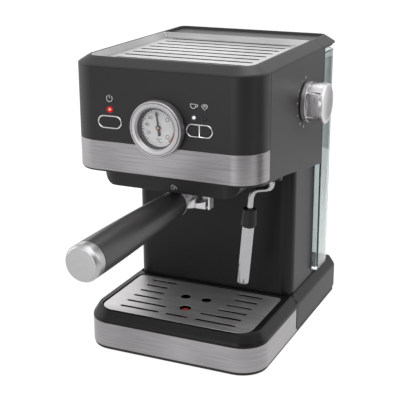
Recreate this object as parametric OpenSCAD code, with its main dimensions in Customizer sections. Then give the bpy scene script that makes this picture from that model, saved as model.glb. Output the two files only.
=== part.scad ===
// Pump espresso machine. A boiler head stands over the drip tray on a column; the bayonet brew group
// takes a twin-spout holder, and a steam wand, steam knob, lift-out tank and slide-out tray move.
// Frame: millimetres, +Z up, -Y towards the person using it, +X to their right. The origin lies on
// the table, under the middle of the base.

/* [Base] */
// Width of the base and of the head
machine_w = 210; // [204:1:216]
// Depth of the base on the table
base_d = 274; // [270:1:280]
// Height of the base up to its flat top
base_top = 48.5; // [47:0.5:49]
// Radius of the base's front corners
base_r = 30; // [26:1:34]
// Height of the rubber feet under the base plate
foot_h = 2; // [1.5:0.5:2.5]

/* [Head] */
// Front face of the head, measured back from the origin along Y
head_front = -146.5; // [-148:0.5:-145]
// Radius of the head's front corners
head_r = 29; // [26:1:31]
// Underside of the head at the front
head_bottom = 215; // [214:1:216]
// Height of the steel band round the head
band_h = 31; // [29:1:33]
// Top edge of the head's walls
head_top = 323; // [322:1:326]
// Height of the bevelled rim over the head's walls
rim_h = 9; // [8:0.5:10]
// Thickness of the moulded walls
wall = 2.8; // [2.4:0.2:3]

/* [Front panel] */
// Outer diameter of the thermometer's bezel
gauge_d = 57; // [54:1:58]
// Height of the thermometer's and the buttons' centres
panel_z = 267; // [265:1:269]
// Place of the single button left of the middle
power_x = -57; // [-60:1:-52]
// Place of the button pair right of the middle
pair_x = 43.5; // [41:0.5:50]

/* [Brew group] */
// Place of the group's axis along Y
group_y = -77.5; // [-80:0.5:-76]
// Radius of the holder's bowl
bowl_r = 32.6; // [31:0.1:32.8]
// Height of the handle's axis
handle_z = 177; // [176:0.5:177.5]
// Length of the handle's grip
grip_l = 176.5; // [160:0.5:180]
// Distance from the middle to each coffee outlet
outlet_x = 19.5; // [17:0.5:20]

/* [Steam] */
// Place of the wand's swivel along X
wand_x = 90; // [88:1:91]
// Place of the wand's swivel along Y
wand_y = -64.5; // [-68:0.5:-62]
// Lean of the wand from the vertical, in degrees
wand_lean = 5; // [3:1:6]
// Diameter of the steam knob's base
knob_d = 44; // [42:1:46]

/* [Tank] */
// Depth of the water tank from front to back
tank_d = 50; // [48:1:50]
// Thickness of the tank's clear walls
tank_wall = 2.5; // [2:0.1:3]

/* [Hidden] */
$fn = 64;
half_w = machine_w / 2;
base_front = -base_d / 2;
base_rear = base_d / 2;
fit = 0.3; // gap between pieces that move past each other
run_fit = 0.08; // radial gap of a shaft in its bore

// Base and tray
plate_top = 8;
plate_inset = 1.2;
tray_seam = -6.9; // rear edge of the tray beside the column
band_t = 0.8;
tray_band_z = 5.5;
tray_band_top = 33.6;
bevel_start = 37;
bevel_w = 7.5;
base_bevel = [[0, bevel_start], [-bevel_w + 1.2, base_top - 1.5], [-bevel_w, base_top], [-bevel_w, bevel_start]];
grid_half_w = 90;
grid_front = base_front + 8;
grid_rear = -24;
grid_t = 1.2;
grid_top = base_top - 0.7;
float_y = -92;
drain_hole_r = 5.8;
float_hole_r = 6.6;
float_r = 3.9;

// Column and rear
column_half_w = 97;
column_front = -16.5;
column_r = 14;
column_top = 212;
side_seam = -111.5; // where the front shell meets the side panels
side_rear = 58.5;
side_low_rear = 188; // lower edge of the side panels at the rear
cover_t = 3;

// Head
rim_w = 13.5;
lid_seam = 52.5;
lid_rear = 114.5;
lid_r = 20;
tray_recess_z = head_top + 2;
rim_top = head_top + rim_h;
head_band_top = head_bottom + band_h;
belly_z = 194;
belly_half_w = 78;
belly_front = -130;

// Brew group, from the spouts up
spout_z = 162.5;
hub_z = 168.5;
bowl_z = 187.3;
ring_z = 200;
ledge_top = 205.4;
channel_top = 211.4;
bowl_top = 212;
group_seat_z = 218.5;
ring_r = 37.9;
bore_r = bowl_r + 0.4;
ear_r = bowl_r + 3.6;
ear_span = 44;
basket_r = 28;
handle_start = -116;
neck_r = 8.5;
neck_l = group_y - handle_start;
collar_r = 14.4;
boiler_r = 34;
boiler_split = 245;
boiler_top = 279;
belly_top = group_seat_z + 6;

// Gauge, heights measured out from the head's front face
gauge_r = gauge_d / 2;
dial_r = 20.6;
dial_h = 1.5;
needle_h = 3.4;

// Steam
knob_y = -4.5;
knob_z = 274;
wand_top = 206;
tube_r = 3.2;
sleeve_r = 6.9;
wand_bends = [[9.3, 8, 78], [7.8, 12, wand_lean - 78], [94.8]];
grip_start = 11.4;
sleeve_start = 32;
sleeve_end = 99.2;

// Tank
tank_front = 64;
tank_rear = tank_front + tank_d - 0.5;
tank_z = base_top + 3.5;
tank_top = 316;
tank_half_w = 103;
hinge_y = 111;
hinge_z = 321;
hinge_x = 60;
hinge_pin_r = 1.25;
port_y = 90;

black = [0.16, 0.155, 0.16];
satin_black = [0.1, 0.1, 0.105];
steel = [0.72, 0.71, 0.71];
chrome = [0.85, 0.85, 0.86];
aluminium = [0.78, 0.78, 0.79];
brass = [0.75, 0.6, 0.32];
rubber = [0.07, 0.07, 0.07];
clear_grey = [0.8, 0.86, 0.84, 0.35];

// ---- Shapes used by several pieces ----

// Outline seen from above, with one radius for the two front corners and one for the two rear ones.
// A front corner may be deeper than the outline, which is then cut off square at the rear.
module plan(half, front, rear, front_r, rear_r) {
    middle = max((front + rear) / 2, front + front_r);
    intersection() {
        union() {
            for (side = [-1, 1]) {
                if (front_r > 0) translate([side * (half - front_r), front + front_r]) circle(front_r);
                if (rear_r > 0) translate([side * (half - rear_r), rear - rear_r]) circle(rear_r);
            }
            translate([-half, front + front_r]) square([2 * half, rear - rear_r - front - front_r]);
            translate([front_r - half, front]) square([2 * (half - front_r), middle - front]);
            translate([rear_r - half, middle]) square([2 * (half - rear_r), rear - middle]);
        }
        translate([-half, front]) square([2 * half, rear - front]);
    }
}

// A plan outline raised from z0 to z1
module slab(half, front, rear, front_r, rear_r, z0, z1) {
    translate([0, 0, z0]) linear_extrude(z1 - z0) plan(half, front, rear, front_r, rear_r);
}

// Sweeps a half section round a plan outline. The section's x runs inwards below 0, its y is the
// height. An end with no radius stays open.
module rim(half, front, rear, front_r, rear_r) {
    for (side = [0, 1]) mirror([side, 0, 0]) {
        translate([half, rear - rear_r, 0]) rotate([90, 0, 0])
            linear_extrude(rear - rear_r - front - front_r) children();
        if (front_r > 0) translate([half - front_r, front + front_r, 0]) rotate([0, 0, -90])
            rotate_extrude(angle = 90) translate([front_r, 0]) children();
        if (rear_r > 0) translate([half - rear_r, rear - rear_r, 0])
            rotate_extrude(angle = 90) translate([rear_r, 0]) children();
    }
    if (front_r > 0) translate([half - front_r, front, 0]) rotate([90, 0, -90])
        linear_extrude(2 * (half - front_r)) children();
    if (rear_r > 0) translate([rear_r - half, rear, 0]) rotate([90, 0, 90])
        linear_extrude(2 * (half - rear_r)) children();
}

// The base's bevelled upper part: a swept bevel filled in with a flat slab
module bevelled_top(front, rear, front_r, rear_r) {
    front_inset = front_r > 0 ? bevel_w : 0;
    rear_inset = rear_r > 0 ? bevel_w : 0;
    rim(half_w, front, rear, front_r, rear_r) polygon(base_bevel);
    slab(half_w - bevel_w, front + front_inset, rear - rear_inset, max(front_r - bevel_w, 0),
        max(rear_r - bevel_w, 0), bevel_start, base_top);
}

// The column's footprint, grown by a margin
module column_plan(margin) {
    plan(column_half_w + margin, column_front - margin, side_rear, column_r + margin, 0);
}

// Slot with round ends, across X
module slot(x0, x1, y, width) {
    for (x = [x0, x1]) translate([x, y]) circle(width / 2, $fn = 24);
    translate([x0, y - width / 2]) square([x1 - x0, width]);
}

// Round-ended button outline, centred
module pill(w, h) {
    for (side = [-1, 1]) translate([side * (w - h) / 2, 0]) circle(h / 2, $fn = 48);
    square([w - h, h], center = true);
}

// Stands a shape on the head's front face, with its height running out towards the user
module on_front(x, z) {
    translate([x, head_front, z]) rotate([90, 0, 0]) children();
}

// Lays a shape on the right side panel, with its height running out along +X
module on_side(y, z) {
    translate([half_w, y, z]) rotate([90, 0, 90]) children();
}

// Where a bend of a given radius and angle ends, in the plane of the bend
function bend_end(radius, angle) = [radius * (1 - cos(angle)) * sign(angle), 0, radius * sin(abs(angle))];

// Round tube in the XZ plane that starts along +Z. Each run holds its straight length, then the
// radius and the angle of the bend after it: towards +X if positive, towards -X if negative.
module bent_tube(runs, r, i = 0) {
    run = runs[i];
    cylinder(h = run[0], r = r);
    // A hair-thick ring over the joint between the bend and this run
    if (i > 0) translate([0, 0, -0.4]) cylinder(h = 0.8, r = r + 0.04);
    if (i + 1 < len(runs)) translate([0, 0, run[0]]) {
        mirror([run[2] < 0 ? 1 : 0, 0, 0]) translate([run[1], 0, 0]) rotate([90, 0, 180])
            rotate_extrude(angle = abs(run[2])) translate([run[1], 0]) circle(r);
        translate(bend_end(run[1], run[2])) rotate([0, run[2], 0]) bent_tube(runs, r, i + 1);
    }
}

// Tube that leaves point a upright, crosses at one level and ends upright at point b
module bridge_tube(a, b, level, bend, r) {
    run = [b.x - a.x, b.y - a.y];
    rise_a = abs(level - a.z) - bend;
    rise_b = abs(level - b.z) - bend;
    turn_down = level > a.z ? 0 : 180;
    translate(a) rotate([turn_down, 0, atan2(run.y, run.x)])
        bent_tube([[rise_a, bend, 90], [norm(run) - 2 * bend, bend, 90], [rise_b]], r);
}

// ---- Base ----

module feet() {
    color(rubber) for (x = [-82, 82], y = [-104, 108])
        translate([x, y, 0]) cylinder(h = foot_h + 1.5, r = 10);
}

module base_plate() {
    color(satin_black) difference() {
        slab(half_w - plate_inset, base_front + plate_inset, base_rear - plate_inset,
            base_r - plate_inset, 7, foot_h, plate_top);
        for (x = [-82, 82], y = [-104, 108]) translate([x, y, 0]) cylinder(h = foot_h + 1.5, r = 10);
        for (x = [-90, 90], y = [8, 124]) translate([x, y, foot_h - 1]) {
            cylinder(h = 10, r = 2);
            cylinder(h = 3.5, r = 4);
        }
        translate([0, 0, foot_h - 1]) linear_extrude(10) for (row = [0 : 7]) slot(-30, 30, 40 + 8 * row, 3);
    }
}

module base_screws() {
    color(steel) for (x = [-90, 90], y = [8, 124]) translate([x, y, foot_h + 0.5]) {
        difference() {
            cylinder(h = 2, r = 3.9);
            translate([-3, -0.5, -1]) cube([6, 1, 1.8]);
        }
        cylinder(h = 14, r = 1.95);
    }
}

module base_rear_shell() {
    seam = tray_seam + 0.4;
    color(black) difference() {
        union() {
            slab(half_w, seam, base_rear, 0, 8, plate_top, bevel_start);
            bevelled_top(seam, base_rear, 0, 8);
            translate([0, 0, plate_top]) linear_extrude(base_top - plate_top) column_plan(0);
        }
        slab(half_w - 12, column_front + 6, base_rear - 12, 8, 4, plate_top - 1, base_top - 6);
        translate([0, port_y, 0]) cylinder(h = base_top + 1, r = 13);
        translate([-35, 21, 0]) cylinder(h = base_top + 1, r = 6);
        for (x = [-90, 90], y = [8, 124]) translate([x, y, 0]) cylinder(h = 17, r = 2);
        translate([60, base_rear - 13, 22]) rotate([-90, 0, 0]) cylinder(h = 14, r = 6);
    }
}

module tank_socket() {
    color(satin_black) translate([0, port_y, 0]) difference() {
        union() {
            translate([0, 0, base_top - 12]) cylinder(h = 12, r = 13);
            translate([0, 0, base_top - 12]) cylinder(h = 4, r = 16);
        }
        translate([0, 0, base_top - 9]) cylinder(h = 10, r = 8.5);
        translate([0, 0, base_top - 13]) cylinder(h = 5, r = 4);
    }
}

module cord_gland() {
    color(rubber) translate([60, base_rear - 13, 22]) rotate([-90, 0, 0]) difference() {
        union() {
            cylinder(h = 16, r = 6);
            translate([0, 0, 13]) cylinder(h = 3, r1 = 9, r2 = 8);
        }
        translate([0, 0, 2]) cylinder(h = 15, r = 3.6);
    }
}

// ---- Column and rear ----

module column_shell() {
    color(satin_black) translate([0, 0, base_top]) linear_extrude(column_top - base_top) difference() {
        column_plan(0);
        plan(column_half_w - wall, column_front + wall, side_rear + 1, column_r - wall, 0);
    }
}

module rear_cover() {
    color(black) difference() {
        union() {
            translate([-column_half_w, side_rear, base_top])
                cube([2 * column_half_w, cover_t, side_low_rear - base_top]);
            translate([-half_w, side_rear, side_low_rear])
                cube([machine_w, cover_t, head_top - fit - side_low_rear]);
        }
        for (row = [0 : 5]) translate([-60, side_rear - 1, 240 + 10 * row]) cube([120, 5, 3]);
    }
}

// ---- Head ----

module head_shell() {
    color(black) difference() {
        union() {
            translate([0, 0, head_band_top]) linear_extrude(head_top - head_band_top)
                plan(half_w, head_front, side_seam, head_r, 0);
            translate([0, 0, head_bottom]) linear_extrude(band_h)
                plan(half_w - band_t, head_front + band_t, side_seam, head_r - band_t, 0);
        }
        slab(half_w - wall, head_front + wall, side_seam + 1, head_r - wall, 0, head_bottom - 1, head_top + 1);
        translate([0, 0, -panel_z]) on_front(0, 2 * panel_z) translate([0, 0, -wall - 1])
            cylinder(h = wall + 2, r = gauge_r - 4);
        on_front(power_x, panel_z) translate([0, 0, -wall - 1]) linear_extrude(wall + 2) pill(28, 14);
        on_front(pair_x, panel_z) translate([0, 0, -wall - 1]) linear_extrude(wall + 2) pill(29.6, 14);
        for (x = [power_x, pair_x - 6, pair_x + 6]) on_front(x, panel_z + 13)
            translate([0, 0, -wall - 1]) cylinder(h = wall + 2, r = 1.6);
    }
}

module head_band() {
    color(steel) difference() {
        slab(half_w, head_front, side_seam, head_r, 0, head_bottom, head_band_top);
        slab(half_w - band_t, head_front + band_t, side_seam + 1, head_r - band_t, 0, head_bottom - 1,
            head_band_top + 1);
        on_front(0, panel_z) translate([0, 0, -wall]) cylinder(h = wall + 1, r = gauge_r - 4);
    }
}

// One side panel, its lower edge rising towards the front
module side_panel() {
    front = side_seam + fit;
    rotate([90, 0, 90]) translate([0, 0, half_w - wall]) linear_extrude(wall)
        polygon([[front, head_bottom - 1], [side_rear, side_low_rear], [side_rear, head_top], [front, head_top]]);
}

module side_panel_left() {
    color(black) mirror([1, 0, 0]) side_panel();
}

module side_panel_right() {
    color(black) difference() {
        side_panel();
        on_side(knob_y, knob_z) translate([0, 0, -wall - 1]) cylinder(h = wall + 2, r = 4.5);
    }
}

module head_underside() {
    inner = half_w - wall - 0.2;
    plate_front = head_front + band_t + wall;
    color(satin_black) difference() {
        union() {
            slab(half_w - 1.2, head_front + 1.2, side_seam, head_r - 1.2, 0, head_bottom - 2, head_bottom);
            intersection() {
                rotate([90, 0, 90]) translate([0, 0, -inner]) linear_extrude(2 * inner)
                    polygon([[head_front, head_bottom - 2], [head_front, head_bottom + 1.5],
                        [column_front, head_bottom - 11], [column_front, head_bottom - 15]]);
                slab(inner, plate_front, column_front, head_r - wall - 1, 0, head_bottom - 20, head_bottom + 5);
            }
            intersection() {
                slab(belly_half_w + 8, belly_front, column_front, 26, 0, belly_z, belly_top);
                translate([0, column_front, 0]) rotate([90, 0, 0])
                    linear_extrude(column_front - belly_front) belly_section();
            }
        }
        translate([0, group_y, belly_z - 1]) cylinder(h = 40, r = ring_r + 0.1);
        translate([0, group_y, group_seat_z]) cylinder(h = 20, r = 42);
        translate([wand_x, wand_y, 190]) cylinder(h = 40, r = 11);
        translate([0, 0, column_top - 60]) linear_extrude(100) column_plan(0);
    }
}

// Section of the belly across X: a flat bottom with large rounded lower corners
module belly_section() {
    corner = 14;
    rise = belly_top - belly_z;
    for (side = [-1, 1]) translate([side * (belly_half_w - corner), belly_z + corner]) circle(corner);
    translate([corner - belly_half_w, belly_z]) square([2 * (belly_half_w - corner), rise]);
    translate([-belly_half_w, belly_z + corner]) square([2 * belly_half_w, rise - corner]);
}

module top_frame() {
    lip = rim_w - 1.5;
    color(black) {
        rim(half_w, head_front, lid_seam, head_r, 0)
            polygon([[0, head_top], [0, head_top + 1.5], [-lip + 3, rim_top - 1.8], [-lip, rim_top], [-rim_w, rim_top],
                [-rim_w, tray_recess_z], [-20, tray_recess_z], [-20, head_top]]);
        translate([-half_w + rim_w, lid_seam - 4, head_top]) cube([machine_w - 2 * rim_w, 4, rim_h - 4]);
    }
}

module cup_tray() {
    half = half_w - rim_w - fit;
    front = head_front + rim_w + fit;
    rear = lid_seam - 4.2;
    slot_half = 71;
    pitch = 19.4;
    color(steel) difference() {
        slab(half, front, rear, head_r - rim_w - fit, 3, tray_recess_z, tray_recess_z + 1.2);
        translate([0, 0, tray_recess_z - 1]) linear_extrude(4)
            for (row = [0 : 7]) slot(-slot_half, slot_half, -101 + pitch * row, 4.4);
    }
}

// ---- Brew group ----

module group_ring() {
    color(aluminium) translate([0, group_y, 0]) difference() {
        translate([0, 0, ring_z]) cylinder(h = group_seat_z - ring_z, r = ring_r);
        translate([0, 0, ring_z - 1]) cylinder(h = group_seat_z - ring_z + 2, r = bore_r);
        translate([0, 0, ledge_top]) cylinder(h = channel_top - ledge_top, r = ear_r + 0.5);
        for (turn = [-45, 135]) rotate([0, 0, turn]) translate([0, 0, ring_z - 1])
            rotate([0, 0, -(ear_span + 4) / 2]) rotate_extrude(angle = ear_span + 4)
                translate([bore_r - 1, 0]) square([ear_r + 1.3 - bore_r, ledge_top - ring_z + 2]);
    }
}

module shower_screen() {
    color(steel) translate([0, group_y, 0]) difference() {
        union() {
            translate([0, 0, group_seat_z - 4]) cylinder(h = 1, r = 25.2);
            translate([0, 0, group_seat_z - 3]) cylinder(h = 2, r = 5);
            translate([0, 0, group_seat_z - 5.2]) cylinder(h = 1.2, r = 3.5);
        }
        for (ring = [1 : 3], step = [0 : 6 * ring - 1]) rotate([0, 0, 60 / ring * step])
            translate([7 * ring, 0, group_seat_z - 4.5]) cylinder(h = 2, r = 0.9);
    }
}

module group_gasket() {
    color(rubber) translate([0, group_y, group_seat_z - 5]) difference() {
        cylinder(h = 4, r = bore_r);
        translate([0, 0, -1]) cylinder(h = 6, r = 25.4);
    }
}

// Holes for the bolts that hold the boiler's halves together
module boiler_bolt_places() {
    for (step = [0 : 5]) translate([0, group_y, 0]) rotate([0, 0, 30 + 60 * step]) translate([boiler_r + 4, 0, 0])
        children();
}

module boiler_lower() {
    color(aluminium) difference() {
        translate([0, group_y, 0]) difference() {
            union() {
                translate([0, 0, group_seat_z - 1]) cylinder(h = 1, r = bore_r);
                translate([0, 0, group_seat_z]) cylinder(h = 6.5, r = 42);
                translate([0, 0, belly_top - 0.5]) cylinder(h = boiler_split - belly_top + 0.5, r = boiler_r);
                translate([0, 0, boiler_split - 4]) cylinder(h = 4, r = boiler_r + 8);
            }
            translate([0, 0, belly_top + 2.5]) cylinder(h = boiler_split, r = boiler_r - 5);
        }
        boiler_bolt_places() translate([0, 0, boiler_split - 5]) cylinder(h = 6, r = 2.5);
    }
}

module boiler_upper() {
    color(aluminium) difference() {
        translate([0, group_y, 0]) difference() {
            union() {
                translate([0, 0, boiler_split]) cylinder(h = 4, r = boiler_r + 8);
                translate([0, 0, boiler_split]) cylinder(h = boiler_top - boiler_split - 6, r = boiler_r);
                translate([0, 0, boiler_top - 6]) cylinder(h = 6, r1 = boiler_r, r2 = boiler_r - 6);
            }
            translate([0, 0, boiler_split - 1]) cylinder(h = boiler_top - boiler_split - 5, r = boiler_r - 5);
        }
        boiler_bolt_places() translate([0, 0, boiler_split - 1]) cylinder(h = 6, r = 2.5);
    }
}

module boiler_bolts() {
    color(steel) boiler_bolt_places() translate([0, 0, boiler_split - 6]) {
        cylinder(h = 12, r = 2.5);
        translate([0, 0, 10]) cylinder(h = 3, r = 3.8, $fn = 6);
        translate([0, 0, -1]) cylinder(h = 3, r = 3.8);
    }
}

module thermostats() {
    color(black) for (x = [-18, 18]) translate([x, group_y - 8, boiler_top]) {
        cylinder(h = 5, r = 8);
        translate([-2, -4, 5]) cube([4, 8, 4]);
    }
}

// ---- Water and steam circuit ----

module pump() {
    color(black) translate([-35, 21, 0]) {
        translate([0, 0, base_top]) difference() {
            cylinder(h = 20, r = 24);
            translate([0, 0, -1]) cylinder(h = 22, r = 18);
        }
        translate([0, 0, base_top + 20]) cylinder(h = 16, r = 24);
        translate([-23, -23, base_top + 36]) cube([46, 46, 44]);
        translate([0, 0, base_top + 80]) cylinder(h = 26, r = 13);
        translate([0, 0, base_top + 106]) cylinder(h = 10, r = 5);
    }
}

module suction_hose() {
    color(clear_grey) bridge_tube([0, port_y, base_top - 12], [-35, 21, base_top + 20], 22, 10, 3.5);
}

module pressure_hose() {
    color(clear_grey) bridge_tube([-35, 21, base_top + 116], [-8, group_y + 12, boiler_top], 292, 12, 2.5);
}

module steam_valve() {
    color(brass) difference() {
        union() {
            translate([66, knob_y, knob_z]) rotate([0, 90, 0]) cylinder(h = 30, r = 10);
            translate([70, knob_y, knob_z]) cylinder(h = 14, r = 5);
            translate([84, knob_y, knob_z]) cylinder(h = 14, r = 5);
        }
        translate([80, knob_y, knob_z]) rotate([0, 90, 0]) cylinder(h = 30, r = 3 + run_fit);
    }
}

module steam_pipes() {
    color(steel) {
        bridge_tube([16, group_y + 14, boiler_top], [70, knob_y, knob_z + 14], 298, 8, 2);
        bridge_tube([84, knob_y, knob_z + 14], [wand_x, wand_y, head_bottom + 2], 310, 8, 2);
    }
}

module wand_socket() {
    color(satin_black) translate([wand_x, wand_y, 0]) difference() {
        translate([0, 0, 201]) cylinder(h = head_bottom + 2 - 201, r = 11);
        translate([0, 0, wand_top + 3]) sphere(7.3);
        translate([0, 0, 200]) cylinder(h = 8, r1 = 6.5, r2 = 5);
    }
}

// ---- Front panel ----

module control_board() {
    color([0.1, 0.3, 0.16]) difference() {
        translate([-75, head_front + 13, panel_z - 18]) cube([150, 1.6, 42]);
        on_front(0, panel_z) translate([0, 0, -20]) cylinder(h = 20, r = gauge_r - 2);
    }
}

module switches() {
    color(satin_black) for (x = [power_x, pair_x - 7, pair_x + 7])
        translate([x - 4, head_front + 6.5, panel_z - 4]) cube([8, 6.5, 8]);
}

module gauge_bezel() {
    rim_out = 12;
    color(steel) on_front(0, panel_z) difference() {
        rotate_extrude() polygon([[0, -8], [gauge_r - 4.1, -8], [gauge_r - 4.1, 0], [gauge_r, 0],
            [gauge_r, rim_out - 1.6], [gauge_r - 1.4, rim_out], [dial_r + 2.2, rim_out],
            [dial_r, rim_out - 1.8], [dial_r, dial_h], [0, dial_h]]);
        translate([0, 0, -4]) cylinder(h = 10, r = 0.9 + run_fit);
    }
}

module gauge_dial() {
    color([0.93, 0.93, 0.92]) on_front(0, panel_z) translate([0, 0, dial_h]) difference() {
        cylinder(h = 0.8, r = dial_r);
        translate([0, 0, -1]) cylinder(h = 3, r = 1.4);
    }
}

module gauge_lens() {
    color(clear_grey) on_front(0, panel_z) translate([0, 0, 8.4]) cylinder(h = 1.2, r = dial_r);
}

module needle() {
    lean = 8;
    color(satin_black) on_front(0, panel_z) {
        translate([0, 0, -3]) cylinder(h = needle_h + 3, r = 0.9);
        translate([0, 0, needle_h]) cylinder(h = 1.6, r = 2.6);
        rotate([0, 0, lean]) translate([0, 0, needle_h]) {
            linear_extrude(0.6) polygon([[-0.9, 0], [0.9, 0], [0.35, 16.5], [-0.35, 16.5]]);
            linear_extrude(0.6) polygon([[-1, 0], [1, 0], [1.4, -6], [-1.4, -6]]);
            translate([0, -7, 0]) cylinder(h = 0.6, r = 2.2);
        }
    }
}

module button_rings() {
    color(chrome) {
        on_front(power_x, panel_z) translate([0, 0, -wall]) linear_extrude(wall + 0.8) difference() {
            pill(28, 14);
            pill(24.8, 10.8);
        }
        on_front(pair_x, panel_z) translate([0, 0, -wall]) linear_extrude(wall + 0.8) difference() {
            pill(29.6, 14);
            difference() {
                pill(26.4, 10.8);
                square([1.6, 12], center = true);
            }
        }
    }
}

// One pair button: the half pill on one side of the middle bar, with its stem
module pair_button(side) {
    color(satin_black) {
        on_front(pair_x, panel_z) translate([0, 0, -wall - 0.2]) linear_extrude(wall + 1) intersection() {
            pill(25.6, 10.2);
            translate([side * 15.8, 0]) square([29.4, 12], center = true);
        }
        on_front(pair_x + side * 7, panel_z) translate([0, 0, -wall - 1.2]) cylinder(h = 1.2, r = 2.5);
    }
}

module power_button() {
    color(satin_black) {
        on_front(power_x, panel_z) translate([0, 0, -wall - 0.2]) linear_extrude(wall + 1) pill(24.2, 10.2);
        on_front(power_x, panel_z) translate([0, 0, -wall - 1.2]) cylinder(h = 1.2, r = 2.5);
    }
}

module brew_button() {
    pair_button(-1);
}

module steam_button() {
    pair_button(1);
}

module power_lens() {
    color([0.9, 0.1, 0.08]) on_front(power_x, panel_z + 13) translate([0, 0, -wall - 3])
        cylinder(h = wall + 3.3, r = 1.6);
}

module status_lenses() {
    color([0.9, 0.9, 0.9]) for (side = [-1, 1]) on_front(pair_x + side * 6, panel_z + 13)
        translate([0, 0, -wall - 3]) cylinder(h = wall + 3.3, r = 1.6);
}

// ---- Coffee holder ----

// Lays a shape along the handle, its height running towards the user
module along_handle(y) {
    translate([0, y, handle_z]) rotate([90, 0, 0]) children();
}

module portafilter_body() {
    color(aluminium) difference() {
        union() {
            translate([0, group_y, 0]) {
                translate([0, 0, bowl_z + 3]) cylinder(h = bowl_top - bowl_z - 3, r = bowl_r);
                translate([0, 0, bowl_z]) cylinder(h = 3, r1 = bowl_r - 3, r2 = bowl_r);
                for (turn = [0, 180]) rotate([0, 0, turn - ear_span / 2]) translate([0, 0, ledge_top + 0.6])
                    rotate_extrude(angle = ear_span) translate([bowl_r - 1, 0]) square([ear_r + 1 - bowl_r, 4.6]);
                translate([0, 0, hub_z]) cylinder(h = bowl_z + 1 - hub_z, r = neck_r + 0.5);
                // Web between the neck and the bowl
                translate([0.3 - neck_r, -24, handle_z]) cube([2 * neck_r - 0.6, 24, bowl_z + 1 - handle_z]);
            }
            along_handle(group_y) rotate_extrude() polygon([[0, 0], [neck_r, 0], [neck_r, neck_l - 26],
                [12, neck_l - 5], [12, neck_l - 3], [collar_r, neck_l - 3], [collar_r, neck_l], [0, neck_l]]);
        }
        translate([0, group_y, bowl_z + 2.6]) cylinder(h = 40, r = basket_r + 0.2);
        translate([0, group_y, hub_z - 1]) cylinder(h = bowl_z + 4 - hub_z, r = 4);
        along_handle(handle_start + 18) cylinder(h = 19, r = 4);
    }
}

module twin_spout() {
    half = outlet_x + 5.5;
    side_wall = 2.2;
    front = -3;
    rear = 8;
    rise = bowl_z - spout_z;
    dish_r = 52;
    color(chrome) translate([0, group_y, spout_z]) difference() {
        union() {
            translate([-half, front, 0]) cube([2 * half, rear - front, 2.4]);
            for (side = [0, 1]) mirror([side, 0, 0]) {
                translate([half - side_wall, front, 0]) cube([side_wall, rear - front, rise]);
                translate([12, rear - 2, 0]) cube([half - 12, 2, rise]);
            }
            translate([-13, rear - 2, 0]) cube([26, 2, hub_z - spout_z]);
            // Low front wall with a dished upper edge
            translate([0, front + 2, 0]) rotate([90, 0, 0]) linear_extrude(2) difference() {
                translate([-outlet_x - 0.5, 0]) square([2 * outlet_x + 1, 9]);
                translate([0, dish_r + 5.1]) circle(dish_r, $fn = 96);
            }
            translate([0, 3, 0]) cylinder(h = hub_z - spout_z, r = 3.8);
        }
        // The way from the hub to the two outlets
        translate([0, 3, 2.4]) cylinder(h = 10, r = 2.6);
        translate([-8, 1.6, 2.4]) cube([16, 2.8, 2.4]);
        for (side = [-1, 1]) translate([side * (outlet_x + 0.6), 0, -1]) cylinder(h = 5, r = 2);
        for (side = [-1, 1]) translate([side * (outlet_x + 1.6), front + 1, 1]) cube([2.4, 4, 4], center = true);
    }
}

module basket() {
    color(steel) translate([0, group_y, 0]) difference() {
        union() {
            translate([0, 0, bowl_top]) cylinder(h = 1, r = bowl_r - 0.3);
            translate([0, 0, bowl_z + 6]) cylinder(h = bowl_top - bowl_z - 5, r = basket_r);
        }
        translate([0, 0, bowl_z + 6.8]) cylinder(h = 40, r = basket_r - 0.9);
    }
}

module handle_bolt() {
    color(steel) along_handle(handle_start + 18) cylinder(h = 170, r = 4);
}

module handle() {
    steps = 14;
    swell = [for (i = [0 : steps]) [14.4 + 3.6 * sin(90 * i / steps), 2 + (grip_l - 2) * i / steps]];
    color(satin_black) along_handle(handle_start) difference() {
        rotate_extrude() polygon(concat([[0, 0], [13, 0]], swell, [[0, grip_l]]));
        translate([0, 0, -1]) cylinder(h = 153, r = 4);
    }
}

module handle_end_cap() {
    color(aluminium) along_handle(handle_start - grip_l) rotate_extrude()
        polygon([[0, 0], [18, 0], [18, 10.8], [17.4, 12.2], [15.6, 14], [0, 14]]);
}

// ---- Steam knob and wand ----

module knob() {
    color(chrome) on_side(knob_y, knob_z) difference() {
        union() {
            translate([0, 0, 0.8]) cylinder(h = 5.7, r = knob_d / 2);
            intersection() {
                translate([0, 0, 6.5]) cylinder(h = 16.5, r = knob_d / 2 - 1);
                translate([0, 0, 6.5]) cylinder(h = 16.5, r = knob_d / 2 + 0.2, $fn = 10);
            }
        }
        translate([0, 0, -1]) cylinder(h = 16, r = 3);
    }
}

module knob_cap() {
    cap_r = knob_d / 2 - 2;
    dome = [for (i = [0 : 8]) [cap_r * cos(90 * i / 8), 24.4 + 2 * sin(90 * i / 8)]];
    color(chrome) on_side(knob_y, knob_z) rotate_extrude() polygon(concat([[0, 23], [cap_r, 23]], dome));
}

module valve_spindle() {
    color(brass) translate([84, knob_y, knob_z]) rotate([0, 90, 0]) cylinder(h = 36, r = 3);
}

// Puts a shape at the wand's swivel, with its height running down the wand
module at_wand() {
    translate([wand_x, wand_y, wand_top]) rotate([180, 0, 180]) children();
}

// Puts a shape at the start of the wand's long leaning run
module on_wand() {
    top = wand_bends[0];
    low = wand_bends[1];
    at_wand() translate([0, 0, top[0]]) translate(bend_end(top[1], top[2])) rotate([0, top[2], 0])
        translate([0, 0, low[0]]) translate(bend_end(low[1], low[2])) rotate([0, low[2], 0]) children();
}

module wand_tube() {
    ball_r = 7;
    ball = [for (a = [-80 : 10 : 80]) [ball_r * cos(a), ball_r * sin(a)]];
    color(chrome) at_wand() {
        bent_tube(wand_bends, tube_r);
        translate([0, 0, -3]) rotate_extrude() polygon(concat([[0, -ball_r]], ball, [[0, ball_r]]));
    }
}

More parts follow.
